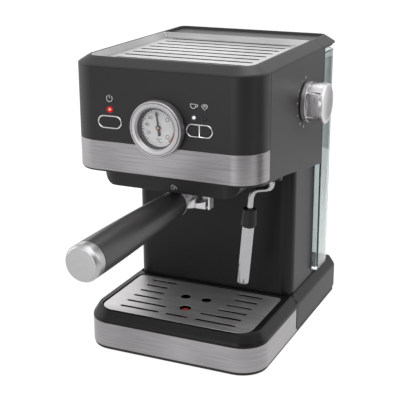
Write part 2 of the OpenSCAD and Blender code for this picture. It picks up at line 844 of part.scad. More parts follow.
module wand_grip() {
    color(rubber) on_wand() translate([0, 0, grip_start]) difference() {
        rotate_extrude() polygon([[0, 0], [7.1, 0], [7.7, 0.8], [8, 9], [8.8, 17], [8.8, 19.2], [8, 20.2], [0, 20.2]]);
        translate([0, 0, -1]) cylinder(h = 23, r = tube_r);
    }
}

module froth_sleeve() {
    length = sleeve_end - sleeve_start;
    color(chrome) on_wand() translate([0, 0, sleeve_start]) difference() {
        rotate_extrude() polygon([[0, 0], [sleeve_r, 0], [sleeve_r, length - 1.4], [sleeve_r - 1.2, length], [0, length]]);
        translate([0, 0, -1]) cylinder(h = length - 3, r = tube_r + run_fit);
        translate([0, 0, length - 5]) cylinder(h = 6, r = 1.6);
        translate([0, 0, 6]) rotate([0, 90, 0]) cylinder(h = 8, r = 1);
    }
}

// ---- Drip tray ----

module drip_tray() {
    color(black) {
        difference() {
            union() {
                slab(half_w - band_t, base_front + band_t, tray_seam, base_r - band_t, 0,
                    plate_top + fit, tray_band_top);
                slab(half_w, base_front, tray_seam, base_r, 0, tray_band_top, bevel_start);
                bevelled_top(base_front, tray_seam, base_r, 0);
            }
            slab(half_w - 5, base_front + 5, column_front - 5, base_r - 5, 6, plate_top + 3, bevel_start - 2);
            slab(grid_half_w - 2, grid_front + 2, grid_rear - 2, 15, 8, bevel_start - 3, base_top + 1);
            slab(grid_half_w + 1.6, grid_front - 1.6, grid_rear + 1.4, 18, 8, grid_top - grid_t - fit, base_top + 1);
            translate([0, 0, plate_top - 1]) linear_extrude(base_top) column_plan(0.4);
        }
        translate([0, float_y, plate_top + 2]) cylinder(h = 24, r = 2.2);
    }
}

module tray_band() {
    color(steel) difference() {
        slab(half_w, base_front, tray_seam - 6, base_r, 0, tray_band_z, tray_band_top);
        slab(half_w - band_t, base_front + band_t, tray_seam, base_r - band_t, 0, tray_band_z - 1, tray_band_top + 1);
    }
}

module drip_grid() {
    pitch = 16.1;
    first = -114;
    inner = [24, 23, 37, 41, 44, 40];
    color(steel) difference() {
        slab(grid_half_w, grid_front, grid_rear, 16.4, 6, grid_top - grid_t, grid_top);
        translate([0, 0, grid_top - 5]) linear_extrude(10) {
            for (row = [0 : 5], side = [-1, 1])
                slot(side > 0 ? inner[row] : -68, side > 0 ? 68 : -inner[row], first + pitch * row, 2.4);
            slot(-11.5, 11.5, first, 2.4);
            translate([0, float_y]) circle(float_hole_r);
            for (side = [-1, 1]) translate([13 * side, -63]) circle(drain_hole_r);
        }
    }
}

module float() {
    color([0.8, 0.12, 0.08]) translate([0, float_y, 0]) difference() {
        union() {
            translate([0, 0, plate_top + 3 + fit]) cylinder(h = 10, r = 11);
            translate([0, 0, plate_top + 3 + fit]) cylinder(h = grid_top - plate_top - 5, r = float_r);
        }
        translate([0, 0, plate_top + 2]) cylinder(h = 34, r = 2.2 + run_fit);
    }
}

// ---- Water tank ----

module hinge_lug(x) {
    translate([x - 4, 0, 0]) rotate([90, 0, 90]) linear_extrude(8) difference() {
        union() {
            translate([hinge_y, hinge_z]) circle(3.2);
            translate([hinge_y - 3.2, 300]) square([6.4, hinge_z - 300]);
        }
        translate([hinge_y, hinge_z]) circle(hinge_pin_r);
    }
}

module water_tank() {
    color(clear_grey) difference() {
        union() {
            difference() {
                slab(tank_half_w, tank_front, tank_rear, 3, 18, tank_z, tank_top);
                slab(tank_half_w - tank_wall, tank_front + tank_wall, tank_rear - tank_wall, 1,
                    18 - tank_wall, tank_z + 3, tank_top + 1);
            }
            for (side = [-1, 1]) hinge_lug(side * hinge_x);
        }
        translate([0, port_y, tank_z - 1]) cylinder(h = 5, r = 7);
    }
}

module tank_valve() {
    color(satin_black) translate([0, port_y, 0]) {
        difference() {
            translate([0, 0, base_top - 6]) cylinder(h = tank_z + 3 - base_top + 6, r = 7);
            translate([0, 0, base_top - 7]) cylinder(h = 10, r = 4);
        }
        translate([0, 0, tank_z + 3]) cylinder(h = 3, r = 10);
    }
}

module tank_lid() {
    front = lid_seam + 0.4;
    lip = rim_w - 1.5;
    color(black) difference() {
        union() {
            rim(half_w, front, lid_rear, 0, lid_r)
                polygon([[0, head_top], [0, head_top + 1.5], [-lip + 3, rim_top - 1.8], [-lip, rim_top],
                    [-rim_w, rim_top], [-rim_w - 1, head_top + 3], [-rim_w - 1, head_top]]);
            slab(half_w - rim_w, front, lid_rear - rim_w, 0, lid_r - rim_w, head_top, head_top + 3);
            translate([-half_w + rim_w, front, head_top]) cube([machine_w - 2 * rim_w, 3, rim_h - 4]);
            slab(tank_half_w - 1, tank_front - 1, lid_rear - 2, 0, 18, hinge_z - 1, head_top);
        }
        for (side = [-1, 1]) {
            translate([side * hinge_x - 4.4, hinge_y - 4.2, hinge_z - 10]) cube([8.8, 20, 30]);
            translate([side * hinge_x - 12, hinge_y, hinge_z]) rotate([0, 90, 0])
                cylinder(h = 24, r = hinge_pin_r + run_fit);
        }
    }
}

module lid_pins() {
    color(steel) for (side = [-1, 1]) translate([side * hinge_x - 11.5, hinge_y, hinge_z])
        rotate([0, 90, 0]) cylinder(h = 23, r = hinge_pin_r);
}

feet();
base_plate();
base_screws();
base_rear_shell();
tank_socket();
cord_gland();
column_shell();
rear_cover();
head_shell();
head_band();
side_panel_left();
side_panel_right();
head_underside();
top_frame();
cup_tray();
group_ring();
shower_screen();
group_gasket();
boiler_lower();
boiler_upper();
boiler_bolts();
thermostats();
pump();
suction_hose();
pressure_hose();
steam_valve();
steam_pipes();
wand_socket();
control_board();
switches();
gauge_bezel();
gauge_dial();
gauge_lens();
button_rings();
power_lens();
status_lenses();
portafilter_body();
twin_spout();
basket();
handle_bolt();
handle();
handle_end_cap();
knob();
knob_cap();
valve_spindle();
wand_tube();
wand_grip();
froth_sleeve();
needle();
power_button();
brew_button();
steam_button();
drip_tray();
tray_band();
drip_grid();
float();
water_tank();
tank_valve();
tank_lid();
lid_pins();
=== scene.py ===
"""Looks of the pump espresso machine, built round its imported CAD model.

Places are in the row frame: the origin lies on the table under the middle of the base, -Y points
to the person using the machine and +X to their right. Lengths are millimetres everywhere; they
become Blender's metres where a mesh, a curve, a place or a material is made.
"""

import logging
import math
from collections.abc import Sequence
from dataclasses import dataclass, field
from enum import Enum

import bmesh
import bpy
from mathutils import Matrix, Vector


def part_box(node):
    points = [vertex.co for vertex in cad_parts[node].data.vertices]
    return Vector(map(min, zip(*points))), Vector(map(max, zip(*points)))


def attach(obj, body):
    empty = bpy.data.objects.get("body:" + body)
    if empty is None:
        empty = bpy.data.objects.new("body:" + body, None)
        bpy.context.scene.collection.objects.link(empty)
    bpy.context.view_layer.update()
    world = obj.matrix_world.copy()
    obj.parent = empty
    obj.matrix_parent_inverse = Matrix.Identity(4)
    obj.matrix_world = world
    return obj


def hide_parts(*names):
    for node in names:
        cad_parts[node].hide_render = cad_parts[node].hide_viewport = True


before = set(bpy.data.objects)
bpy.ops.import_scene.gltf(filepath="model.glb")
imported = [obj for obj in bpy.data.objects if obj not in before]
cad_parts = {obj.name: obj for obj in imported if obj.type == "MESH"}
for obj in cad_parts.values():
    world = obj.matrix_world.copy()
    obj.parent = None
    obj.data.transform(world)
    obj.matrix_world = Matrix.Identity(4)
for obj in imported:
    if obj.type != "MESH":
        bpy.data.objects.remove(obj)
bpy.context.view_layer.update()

log = logging.getLogger("espresso")

Point = tuple[float, float]
Colour = tuple[float, float, float]
Mesh = bpy.types.Mesh
Object = bpy.types.Object
Socket = bpy.types.NodeSocket

CHASSIS = "chassis"
METRES = 0.001
SHARP_ANGLE = 32.0
INK_THICKNESS = 0.16
FIGURE_THICKNESS = 0.04
WELD_DISTANCE = 0.002


# ---- Outlines and meshes ----


def arc(centre: Point, radius: float, start: float, end: float, steps: int) -> list[Point]:
    """Points along an arc.

    Args:
        centre: Middle of the arc.
        radius: Its radius.
        start: Angle of the first point, in degrees.
        end: Angle of the last point, in degrees.
        steps: Number of chords.

    Returns:
        steps + 1 points.
    """
    turns = [math.radians(start + (end - start) * i / steps) for i in range(steps + 1)]
    return [(centre[0] + radius * math.cos(a), centre[1] + radius * math.sin(a)) for a in turns]


def rounded(corners: Sequence[Point], radius: float, closed: bool = True, steps: int = 4) -> list[Point]:
    """Rounds each corner of an outline with a short curve.

    Args:
        corners: The sharp corners in order.
        radius: How far back from a corner its curve begins.
        closed: Whether the last corner joins the first.
        steps: Chords in each curve.

    Returns:
        The rounded outline.
    """
    points: list[Point] = []
    count = len(corners)
    spots = [Vector((x * METRES, y * METRES)) for x, y in corners]
    for i, here in enumerate(spots):
        if not closed and i in (0, count - 1):
            points.append(corners[i])
            continue
        before, after = spots[i - 1] - here, spots[(i + 1) % count] - here
        start = here + before.normalized() * min(radius * METRES, before.length * 0.48)
        end = here + after.normalized() * min(radius * METRES, after.length * 0.48)
        for step in range(steps + 1):
            t = step / steps
            point = start * (1 - t) ** 2 + here * 2 * t * (1 - t) + end * t**2
            points.append((point.x / METRES, point.y / METRES))
    return points


def pill(width: float, height: float, steps: int = 20) -> list[Point]:
    """Outline with two half-round ends, centred on zero."""
    reach = (width - height) / 2
    return arc((reach, 0), height / 2, -90, 90, steps) + arc((-reach, 0), height / 2, 90, 270, steps)


def bar(x0: float, x1: float, y: float, width: float) -> list[Point]:
    """Outline of a round-ended slot that runs across from x0 to x1."""
    return [(x + (x0 + x1) / 2, y + v) for x, v in pill(x1 - x0 + width, width, 8)]


def disc(centre: Point, radius: float, steps: int = 40) -> list[Point]:
    """Outline of a round hole or plate."""
    return arc(centre, radius, 0, 360, steps)[:-1]


class Opening(Enum):
    """Side on which a band round a plan is left open."""

    NONE = "none"
    REAR = "rear"
    FRONT = "front"


@dataclass(frozen=True)
class Plan:
    """Outline of a housing seen from above, with rounded corners.

    Attributes:
        half: Half of the width across X.
        front: Y of the front face.
        rear: Y of the rear face.
        front_radius: Radius of the two front corners.
        rear_radius: Radius of the two rear corners.
    """

    half: float
    front: float
    rear: float
    front_radius: float
    rear_radius: float = 0.4

    def corner(self, side: int, at_rear: bool, inset: float, start: float, steps: int) -> list[Point]:
        """Quarter turn at one corner, counter-clockwise from the start angle.

        Args:
            side: -1 for the left corner and 1 for the right one.
            at_rear: Whether it is a rear corner.
            inset: How far the outline is moved inwards.
            start: Angle of the first point, in degrees.
            steps: Chords in the turn.

        Returns:
            The points of the turn.
        """
        radius = max((self.rear_radius if at_rear else self.front_radius) - inset, 0.3)
        x = side * (self.half - inset - radius)
        y = self.rear - inset - radius if at_rear else self.front + inset + radius
        return arc((x, y), radius, start, start + 90, steps)

    def loop(self, inset: float = 0.0, steps: int = 14) -> list[Point]:
        """The closed outline, moved inwards by inset.

        Args:
            inset: How far the outline is moved inwards.
            steps: Chords in each corner.

        Returns:
            The closed outline, counter-clockwise.
        """
        return (
            self.corner(-1, False, inset, 180, steps) + self.corner(1, False, inset, 270, steps)
            + self.corner(1, True, inset, 0, steps) + self.corner(-1, True, inset, 90, steps)
        )

    def open_path(self, inset: float, at_rear: bool, steps: int = 14) -> list[Point]:
        """Path round one end only, which leaves the other end open.

        Args:
            inset: How far the path is moved inwards.
            at_rear: Whether it goes round the rear end.
            steps: Chords in each corner.

        Returns:
            The open path, counter-clockwise.
        """
        start, far, side = (0, self.front, 1) if at_rear else (180, self.rear, -1)
        first = self.corner(side, at_rear, inset, start, steps)
        second = self.corner(-side, at_rear, inset, start + 90, steps)
        reach = side * (self.half - inset)
        return [(reach, far), *first, *second, (-reach, far)]


def build_mesh(points: Sequence[Sequence[float]], faces: Sequence[Sequence[int]]) -> Mesh:
    """Makes a mesh, merges points that coincide and turns its faces outwards.

    Args:
        points: Corners in millimetres.
        faces: Indices of the corners of each face.

    Returns:
        The mesh, in metres.
    """
    mesh = bpy.data.meshes.new("shape")
    mesh.from_pydata([tuple(c * METRES for c in p) for p in points], [], [tuple(f) for f in faces])
    work = bmesh.new()
    work.from_mesh(mesh)
    bmesh.ops.remove_doubles(work, verts=work.verts, dist=1e-7)
    bmesh.ops.recalc_face_normals(work, faces=work.faces)
    work.to_mesh(mesh)
    work.free()
    return mesh


def skin(
    rails: Sequence[Sequence[Sequence[float]]],
    looped_rails: bool = True,
    looped_section: bool = False,
    capped: bool = True,
) -> Mesh:
    """Joins a row of rails into one surface.

    Args:
        rails: Lines of points, all equally long.
        looped_rails: Whether each rail closes on itself.
        looped_section: Whether the last rail joins the first.
        capped: Whether the open ends are filled with flat faces.

    Returns:
        The mesh.
    """
    length, count = len(rails[0]), len(rails)
    points = [p for rail in rails for p in rail]
    faces: list[list[int]] = []
    for i in range(count if looped_section else count - 1):
        row, above = i * length, (i + 1) % count * length
        for j in range(length if looped_rails else length - 1):
            k = (j + 1) % length
            faces.append([row + j, row + k, above + k, above + j])
    if capped and looped_rails and not looped_section:
        faces.append(list(range(length)))
        faces.append([(count - 1) * length + j for j in range(length)])
    if capped and looped_section and not looped_rails:
        faces.append([i * length for i in range(count)])
        faces.append([i * length + length - 1 for i in range(count)])
    return build_mesh(points, faces)


def prism(outline: Sequence[Point], low: float, high: float, place: Matrix | None = None) -> Mesh:
    """Solid with one outline from height low to height high, then moved to its place.

    Args:
        outline: The outline.
        low: Height of its lower end.
        high: Height of its upper end.
        place: Where the solid goes, or nothing to leave it.

    Returns:
        The mesh.
    """
    mesh = skin([[(x, y, z) for x, y in outline] for z in (low, high)])
    mesh.transform(place or Matrix.Identity(4))
    return mesh


def tower(plan: Plan, section: Sequence[Point]) -> Mesh:
    """Solid that follows a plan; each section point gives an inset and a height."""
    return skin([[(x, y, z) for x, y in plan.loop(inset)] for inset, z in section])


def strip(low: float, high: float, thick: float) -> list[Point]:
    """Section of a plain upright band, as (inset, height)."""
    return [(0, low), (0, high), (thick, high), (thick, low)]


def hoop(plan: Plan, section: Sequence[Point], opening: Opening = Opening.NONE) -> Mesh:
    """Hollow band round a plan.

    Args:
        plan: The outline to follow.
        section: Closed outline of the band as (inset, height).
        opening: The side that is left open.

    Returns:
        The mesh.
    """
    closed, at_rear = opening is Opening.NONE, opening is Opening.FRONT
    rails = []
    for inset, z in section:
        path = plan.loop(inset) if closed else plan.open_path(inset, at_rear)
        rails.append([(x, y, z) for x, y in path])
    return skin(rails, looped_rails=closed, looped_section=True)


def turned(points: Sequence[Point], steps: int) -> list[list[tuple[float, float, float]]]:
    """Circles round the height axis, one for each (radius, height)."""
    turns = [2 * math.pi * i / steps for i in range(steps)]
    return [[(r * math.cos(a), r * math.sin(a), h) for a in turns] for r, h in points]


def lathe(profile: Sequence[Point], place: Matrix | None = None, steps: int = 96) -> Mesh:
    """Turns a profile of (radius, height) round the height axis, then moves it to its place.

    Args:
        profile: Points from the lower end of the axis to the upper one.
        place: Where the solid goes.
        steps: Number of chords round the axis.

    Returns:
        The mesh.
    """
    mesh = skin(turned(profile, steps), capped=profile[0][0] > 0 and profile[-1][0] > 0)
    mesh.transform(place or Matrix.Identity(4))
    return mesh


def ring(section: Sequence[Point], place: Matrix | None = None, steps: int = 96) -> Mesh:
    """Turns a closed section of (radius, height) into a hollow ring.

    Args:
        section: Closed section as (radius, height).
        place: Where the ring goes.
        steps: Number of chords round the axis.

    Returns:
        The mesh.
    """
    mesh = skin(turned(section, steps), looped_section=True, capped=False)
    mesh.transform(place or Matrix.Identity(4))
    return mesh


def tube(path: Sequence[Vector], radius: float, steps: int = 24) -> Mesh:
    """Round tube along a path.

    Args:
        path: Points along the middle line.
        radius: Radius of the tube.
        steps: Number of chords round it.

    Returns:
        The mesh.
    """
    rails = []
    side = (path[1] - path[0]).orthogonal().normalized()
    for i, point in enumerate(path):
        ahead = (path[min(i + 1, len(path) - 1)] - path[max(i - 1, 0)]).normalized()
        side = (side - ahead * side.dot(ahead)).normalized()
        up = ahead.cross(side)
        turns = [2 * math.pi * j / steps for j in range(steps)]
        rails.append([point + (side * math.cos(a) + up * math.sin(a)) * radius for a in turns])
    return skin(rails)


def settled(item: Object) -> Mesh:
    """The mesh an object shows once its modifiers have run; the object itself goes away.

    Args:
        item: The object.

    Returns:
        Its final mesh.
    """
    bpy.context.view_layer.update()
    graph = bpy.context.evaluated_depsgraph_get()
    mesh = bpy.data.meshes.new_from_object(item.evaluated_get(graph), depsgraph=graph)
    bpy.data.objects.remove(item)
    return mesh


def shown(data: bpy.types.ID, name: str = "work") -> Object:
    """Puts data into the scene as an object at the origin.

    Args:
        data: A mesh, curve, lamp or camera.
        name: Name of the object.

    Returns:
        The new object.
    """
    item = bpy.data.objects.new(name, data)
    bpy.context.scene.collection.objects.link(item)
    return item


def carved(solid: Mesh, tools: Sequence[Mesh], keep_common: bool = False) -> Mesh:
    """Cuts tools out of a solid, or with keep_common keeps only what lies in all of them.

    Args:
        solid: The mesh to cut.
        tools: The meshes that cut it.
        keep_common: Whether to keep only the common part.

    Returns:
        The mesh that is left.
    """
    block = shown(solid)
    cutters = [shown(tool) for tool in tools]
    for cutter in cutters:
        cut = block.modifiers.new("cut", "BOOLEAN")
        cut.operation = "INTERSECT" if keep_common else "DIFFERENCE"
        cut.solver = "EXACT"
        cut.object = cutter
    mesh = settled(block)
    for cutter in cutters:
        bpy.data.objects.remove(cutter)
    return mesh


def joined(meshes: Sequence[Mesh]) -> Mesh:
    """Puts several meshes into one.

    Args:
        meshes: The meshes.

    Returns:
        One mesh that holds them all.
    """
    work = bmesh.new()
    for mesh in meshes:
        work.from_mesh(mesh)
    result = bpy.data.meshes.new("shape")
    work.to_mesh(result)
    work.free()
    return result


def plate(outlines: Sequence[Sequence[Point]], thickness: float, edge: float, place: Matrix) -> Mesh:
    """Flat sheet with holes whose edges are all rounded.

    Args:
        outlines: The outer edge first, then the holes.
        thickness: Full thickness; the sheet lies between 0 and this height.
        edge: Radius of the rounded edges.
        place: Where the sheet goes.

    Returns:
        The mesh.
    """
    curve = bpy.data.curves.new("sheet", "CURVE")
    curve.dimensions, curve.fill_mode = "2D", "BOTH"
    curve.extrude = (thickness / 2 - edge) * METRES
    curve.bevel_depth, curve.bevel_resolution, curve.offset = edge * METRES, 2, -edge * METRES
    for index, outline in enumerate(outlines):
        line = curve.splines.new("POLY")
        line.points.add(len(outline) - 1)
        ordered = outline if index == 0 else list(reversed(outline))
        for point, (x, y) in zip(line.points, ordered):
            point.co = (x * METRES, y * METRES, 0, 1)
        line.use_cyclic_u = True
    mesh = settled(shown(curve))
    mesh.transform(place @ at(0, 0, thickness / 2))
    return mesh


def strokes(lines: Sequence[Sequence[Point]], width: float, place: Matrix) -> Mesh:
    """Printed lines: flat round-ended ribbons a hair proud of the surface they lie on.

    Args:
        lines: Each line as its points.
        width: Width of the ribbons.
        place: Where the print goes.

    Returns:
        The mesh.
    """
    curve = bpy.data.curves.new("ink", "CURVE")
    curve.dimensions, curve.bevel_depth, curve.bevel_resolution = "3D", width / 2 * METRES, 3
    curve.use_fill_caps = True
    for points in lines:
        line = curve.splines.new("POLY")
        line.points.add(len(points) - 1)
        for point, (x, y) in zip(line.points, points):
            point.co = (x * METRES, y * METRES, 0, 1)
    mesh = settled(shown(curve))
    mesh.transform(place @ Matrix.Diagonal((1, 1, INK_THICKNESS / width, 1)))
    return mesh


def lettering(text: str, size: float, place: Matrix) -> Mesh:
    """Raised generic figures or signs, centred on their place.

    Args:
        text: The figures or sign.
        size: Height of the letters.
        place: Where their middle goes.

    Returns:
        The mesh.
    """
    font = bpy.data.curves.new("figures", "FONT")
    font.body, font.size, font.extrude = text, size * METRES, FIGURE_THICKNESS * METRES
    font.align_x, font.align_y = "CENTER", "CENTER"
    mesh = settled(shown(font))
    mesh.transform(place)
    return mesh


def at(x: float, y: float, z: float) -> Matrix:
    """Place that is only moved, not turned."""
    return Matrix.Translation((x * METRES, y * METRES, z * METRES))


def facing_user(x: float, y: float, z: float) -> Matrix:
    """Place on a front face: local X to the right, local Y up, local Z to the user."""
    return at(x, y, z) @ Matrix.Rotation(math.pi / 2, 4, "X")


def facing_right(x: float, y: float, z: float) -> Matrix:
    """Place on the right side: local X to the rear, local Y up, local Z to the right."""
    return at(x, y, z) @ Matrix.Rotation(math.pi / 2, 4, "Z") @ Matrix.Rotation(math.pi / 2, 4, "X")


# ---- Finishes ----


class Grain(Enum):
    """Direction in which a metal sheet is brushed, as the stretch of its noise."""

    ACROSS = (1.0, 34.0, 34.0)
    ROUND_KNOB = (34.0, 1.0, 1.0)
    ROUND_FRONT = (1.0, 1.0, 34.0)


def tinted(colour: Colour, factor: float) -> Colour:
    """The colour made lighter or darker by a factor."""
    return tuple(min(c * factor, 1.0) for c in colour)


class Graph:
    """Node tree of one material, with short calls for what the finishes need."""

    def __init__(self, name: str) -> None:
        """Starts a material that holds one principled shader.

        Args:
            name: Name of the material.
        """
        self.material = bpy.data.materials.new(name)
        self.material.use_nodes = True
        self.tree = self.material.node_tree
        self.tree.nodes.clear()
        self.shader = self.add("BsdfPrincipled")
        output = self.add("OutputMaterial")
        self.link(self.shader.outputs[0], output.inputs[0])

    def add(self, kind: str, **settings: object) -> bpy.types.Node:
        """Adds a node and sets its own fields.

        Args:
            kind: Its type, without the prefix that all shader nodes share.
            settings: Values of its fields.

        Returns:
            The node.
        """
        node = self.tree.nodes.new(f"ShaderNode{kind}")
        for name, value in settings.items():
            setattr(node, name, value)
        return node

    def link(self, source: Socket, target: Socket) -> None:
        """Links two sockets."""
        self.tree.links.new(source, target)

    def vector(self, operation: str, source: Socket, other: Sequence[float] = (0, 0, 0)) -> Socket:
        """Vector maths on a source and a fixed vector.

        Args:
            operation: Name of the operation.
            source: The varying vector.
            other: The fixed vector.

        Returns:
            The value for LENGTH and DISTANCE, or else the vector.
        """
        step = self.add("VectorMath", operation=operation)
        step.inputs[1].default_value = other
        self.link(source, step.inputs[0])
        return step.outputs["Value" if operation in ("LENGTH", "DISTANCE") else "Vector"]

    def set(self, **values: object) -> None:
        """Sets shader sockets; an underscore in a name stands for a space."""
        for name, value in values.items():
            self.shader.inputs[name.replace("_", " ")].default_value = value

    def feed(self, name: str, source: Socket) -> None:
        """Links a source to a socket of the shader."""
        self.link(source, self.shader.inputs[name])

    def place(self, stretch: Sequence[float] = (1, 1, 1)) -> Socket:
        """Coordinates of the object itself, stretched.

        Args:
            stretch: Factor along each axis.

        Returns:
            The coordinates.
        """
        coordinates = self.add("TexCoord")
        mapping = self.add("Mapping")
        mapping.inputs["Scale"].default_value = stretch
        self.link(coordinates.outputs["Object"], mapping.inputs["Vector"])
        return mapping.outputs[0]

    def noise(self, size: float, detail: float = 2.0, stretch: Sequence[float] = (1, 1, 1)) -> Socket:
        """Noise with features of a size.

        Args:
            size: Size of the features.
            detail: Number of finer layers.
            stretch: Factor along each axis.

        Returns:
            The noise's value.
        """
        texture = self.add("TexNoise")
        texture.inputs["Scale"].default_value = 1 / (size * METRES)
        texture.inputs["Detail"].default_value = detail
        self.link(self.place(stretch), texture.inputs["Vector"])
        return texture.outputs[0]

    def spread(self, source: Socket, low: float, high: float, width: float = 0.3) -> Socket:
        """Maps the middle part of a noise onto a range.

        Args:
            source: The noise.
            low: Value at its dark end.
            high: Value at its light end.
            width: How far the mapped part reaches from the middle.

        Returns:
            The mapped value.
        """
        ramp = self.add("MapRange")
        ramp.inputs["From Min"].default_value = 0.5 - width
        ramp.inputs["From Max"].default_value = 0.5 + width
        ramp.inputs["To Min"].default_value = low
        ramp.inputs["To Max"].default_value = high
        self.link(source, ramp.inputs["Value"])
        return ramp.outputs[0]

    def tint(self, factor: Socket, colour: Colour, dark: float, light: float = 1.0) -> Socket:
        """Blend between a darker and a lighter shade of one colour.

        Args:
            factor: 0 for the dark shade and 1 for the light one.
            colour: The colour.
            dark: Factor of the dark shade.
            light: Factor of the light shade.

        Returns:
            The blend.
        """
        mix = self.add("Mix", data_type="RGBA")
        mix.inputs[6].default_value = (*tinted(colour, dark), 1)
        mix.inputs[7].default_value = (*tinted(colour, light), 1)
        self.link(factor, mix.inputs[0])
        return mix.outputs[2]

    def dim(self, colour: Socket, factor: Socket) -> Socket:
        """A colour made lighter or darker by a varying factor.

        Args:
            colour: The colour.
            factor: The factor.

        Returns:
            The scaled colour.
        """
        scaled = self.add("VectorMath", operation="SCALE")
        self.link(colour, scaled.inputs[0])
        self.link(factor, scaled.inputs["Scale"])
        return scaled.outputs[0]

    def bump(self, height: Socket, depth: float) -> None:
        """Gives the surface a relief of a depth.

        Args:
            height: The relief, from 0 to 1.
            depth: Its depth.
        """
        relief = self.add("Bump")
        relief.inputs["Strength"].default_value = 1.0
        relief.inputs["Distance"].default_value = depth * METRES
        self.link(height, relief.inputs["Height"])
        self.feed("Normal", relief.outputs[0])


@dataclass(frozen=True)
class Finish:
    """A named surface finish; each kind fills in its own nodes."""

    name: str

    def dress(self, graph: Graph) -> None:
        """Fills in the nodes of this finish."""
        raise NotImplementedError

    def material(self) -> bpy.types.Material:
        """The finish's material, made when it is first asked for.

        Returns:
            The material.
        """
        label = f"{self.name}_finish"
        found = bpy.data.materials.get(label)
        if found is None:
            graph = Graph(label)
            self.dress(graph)
            found = graph.material
        return found


@dataclass(frozen=True)
class MouldedPlastic(Finish):
    """Moulded plastic or rubber with a fine eroded texture and faint mottling."""

    colour: Colour
    roughness: float = 0.5
    specular: float = 0.3
    grain: float = 0.5
    depth: float = 0.02
    mottle: float = 0.06

    def dress(self, graph: Graph) -> None:
        """Colour mottling, fine relief and a little variation in gloss.

        Args:
            graph: The node tree to fill in.
        """
        broad = graph.spread(graph.noise(38, 3), 0, 1)
        fine = graph.noise(self.grain, 3)
        graph.set(Specular_IOR_Level=self.specular)
        graph.feed("Base Color", graph.tint(broad, self.colour, 1 - self.mottle, 1 + self.mottle))
        graph.feed("Roughness", graph.spread(fine, self.roughness - 0.04, self.roughness + 0.04))
        graph.bump(fine, self.depth)


@dataclass(frozen=True)
class BrushedMetal(Finish):
    """Sheet metal with fine scratches in one direction."""

    colour: Colour
    grain: Grain
    roughness: float = 0.34
    streak: float = 0.2
    band: float = 0.14
    depth: float = 0.012

    def dress(self, graph: Graph) -> None:
        """Long fine scratches over broad soft bands.

        Args:
            graph: The node tree to fill in.
        """
        lines = graph.noise(46, 3, self.grain.value)
        broad = graph.noise(70, 1)
        scratches = graph.spread(lines, 0, 1, 0.22)
        light = graph.tint(scratches, self.colour, 1 - self.streak, 1 + self.streak)
        graph.set(Metallic=1.0)
        graph.feed("Base Color", graph.dim(light, graph.spread(broad, 1 - self.band, 1 + self.band, 0.2)))
        graph.feed("Roughness", graph.spread(lines, self.roughness - 0.07, self.roughness + 0.07))
        graph.bump(lines, self.depth)


@dataclass(frozen=True)
class PolishedMetal(Finish):
    """Cast, plated or polished metal with faint clouding."""

    colour: Colour
    roughness: float = 0.1
    cloud: float = 0.04
    depth: float = 0.004

    def dress(self, graph: Graph) -> None:
        """Soft clouds in the gloss and a very low waviness.

        Args:
            graph: The node tree to fill in.
        """
        cloud = graph.noise(9, 3)
        graph.set(Metallic=1.0)
        graph.feed("Base Color", graph.tint(graph.spread(cloud, 0, 1), self.colour, 1 - self.cloud))
        graph.feed("Roughness", graph.spread(cloud, self.roughness * 0.75, self.roughness * 1.3))
        graph.bump(graph.noise(3, 2), self.depth)


@dataclass(frozen=True)
class TurnedMetal(Finish):
    """Metal face turned on a lathe, with rings round an axis along Y."""

    colour: Colour
    centre: Point
    roughness: float = 0.3
    pitch: float = 0.5
    depth: float = 0.02

    def dress(self, graph: Graph) -> None:
        """Rings from the distance to the axis, in colour, gloss and relief.

        Args:
            graph: The node tree to fill in.
        """
        axis = (self.centre[0] * METRES, 0, self.centre[1] * METRES)
        spot = graph.vector("SUBTRACT", graph.place(), axis)
        reach = graph.vector("LENGTH", graph.vector("MULTIPLY", spot, (1, 0, 1)))
        rings = graph.add("TexNoise", noise_dimensions="1D")
        rings.inputs["Scale"].default_value = 1 / (self.pitch * METRES)
        rings.inputs["Detail"].default_value = 2
        graph.link(reach, rings.inputs["W"])
        lines = rings.outputs[0]
        graph.set(Metallic=1.0)
        graph.feed("Base Color", graph.tint(graph.spread(lines, 0, 1), self.colour, 0.9, 1.06))
        graph.feed("Roughness", graph.spread(lines, self.roughness - 0.06, self.roughness + 0.06))
        graph.bump(lines, self.depth)


@dataclass(frozen=True)
class ClearPlastic(Finish):
    """See-through plastic with a slight tint."""

    colour: Colour
    roughness: float = 0.03
    ior: float = 1.45

    def dress(self, graph: Graph) -> None:
        """Full transmission with faint moulding haze.

        Args:
            graph: The node tree to fill in.
        """
        haze = graph.noise(20, 2)
        graph.set(Transmission_Weight=1.0, IOR=self.ior)
        graph.feed("Base Color", graph.tint(graph.spread(haze, 0, 1), self.colour, 0.97))
        graph.feed("Roughness", graph.spread(haze, self.roughness * 0.6, self.roughness * 1.5))


@dataclass(frozen=True)
class ThinGlass(Finish):
    """A flat pane that hides almost nothing and only carries a faint gloss."""

    colour: Colour
    cover: float = 0.05

    def dress(self, graph: Graph) -> None:
        """Mostly transparent film with a polished surface.

        Args:
            graph: The node tree to fill in.
        """
        haze = graph.noise(12, 1)
        graph.set(Alpha=self.cover, Specular_IOR_Level=0.6)
        graph.feed("Base Color", graph.tint(haze, self.colour, 0.96))
        graph.feed("Roughness", graph.spread(haze, 0.02, 0.05))


@dataclass(frozen=True)
class Lamp(Finish):
    """A small lit lens, brighter in its middle."""

    colour: Colour
    strength: float

    def dress(self, graph: Graph) -> None:
        """Glowing plastic with a little unevenness.

        Args:
            graph: The node tree to fill in.
        """
        glow = graph.noise(1.5, 1)
        graph.set(Roughness=0.25, Emission_Strength=self.strength)
        graph.feed("Base Color", graph.tint(glow, self.colour, 0.8))
        graph.feed("Emission Color", graph.tint(glow, self.colour, 0.85))


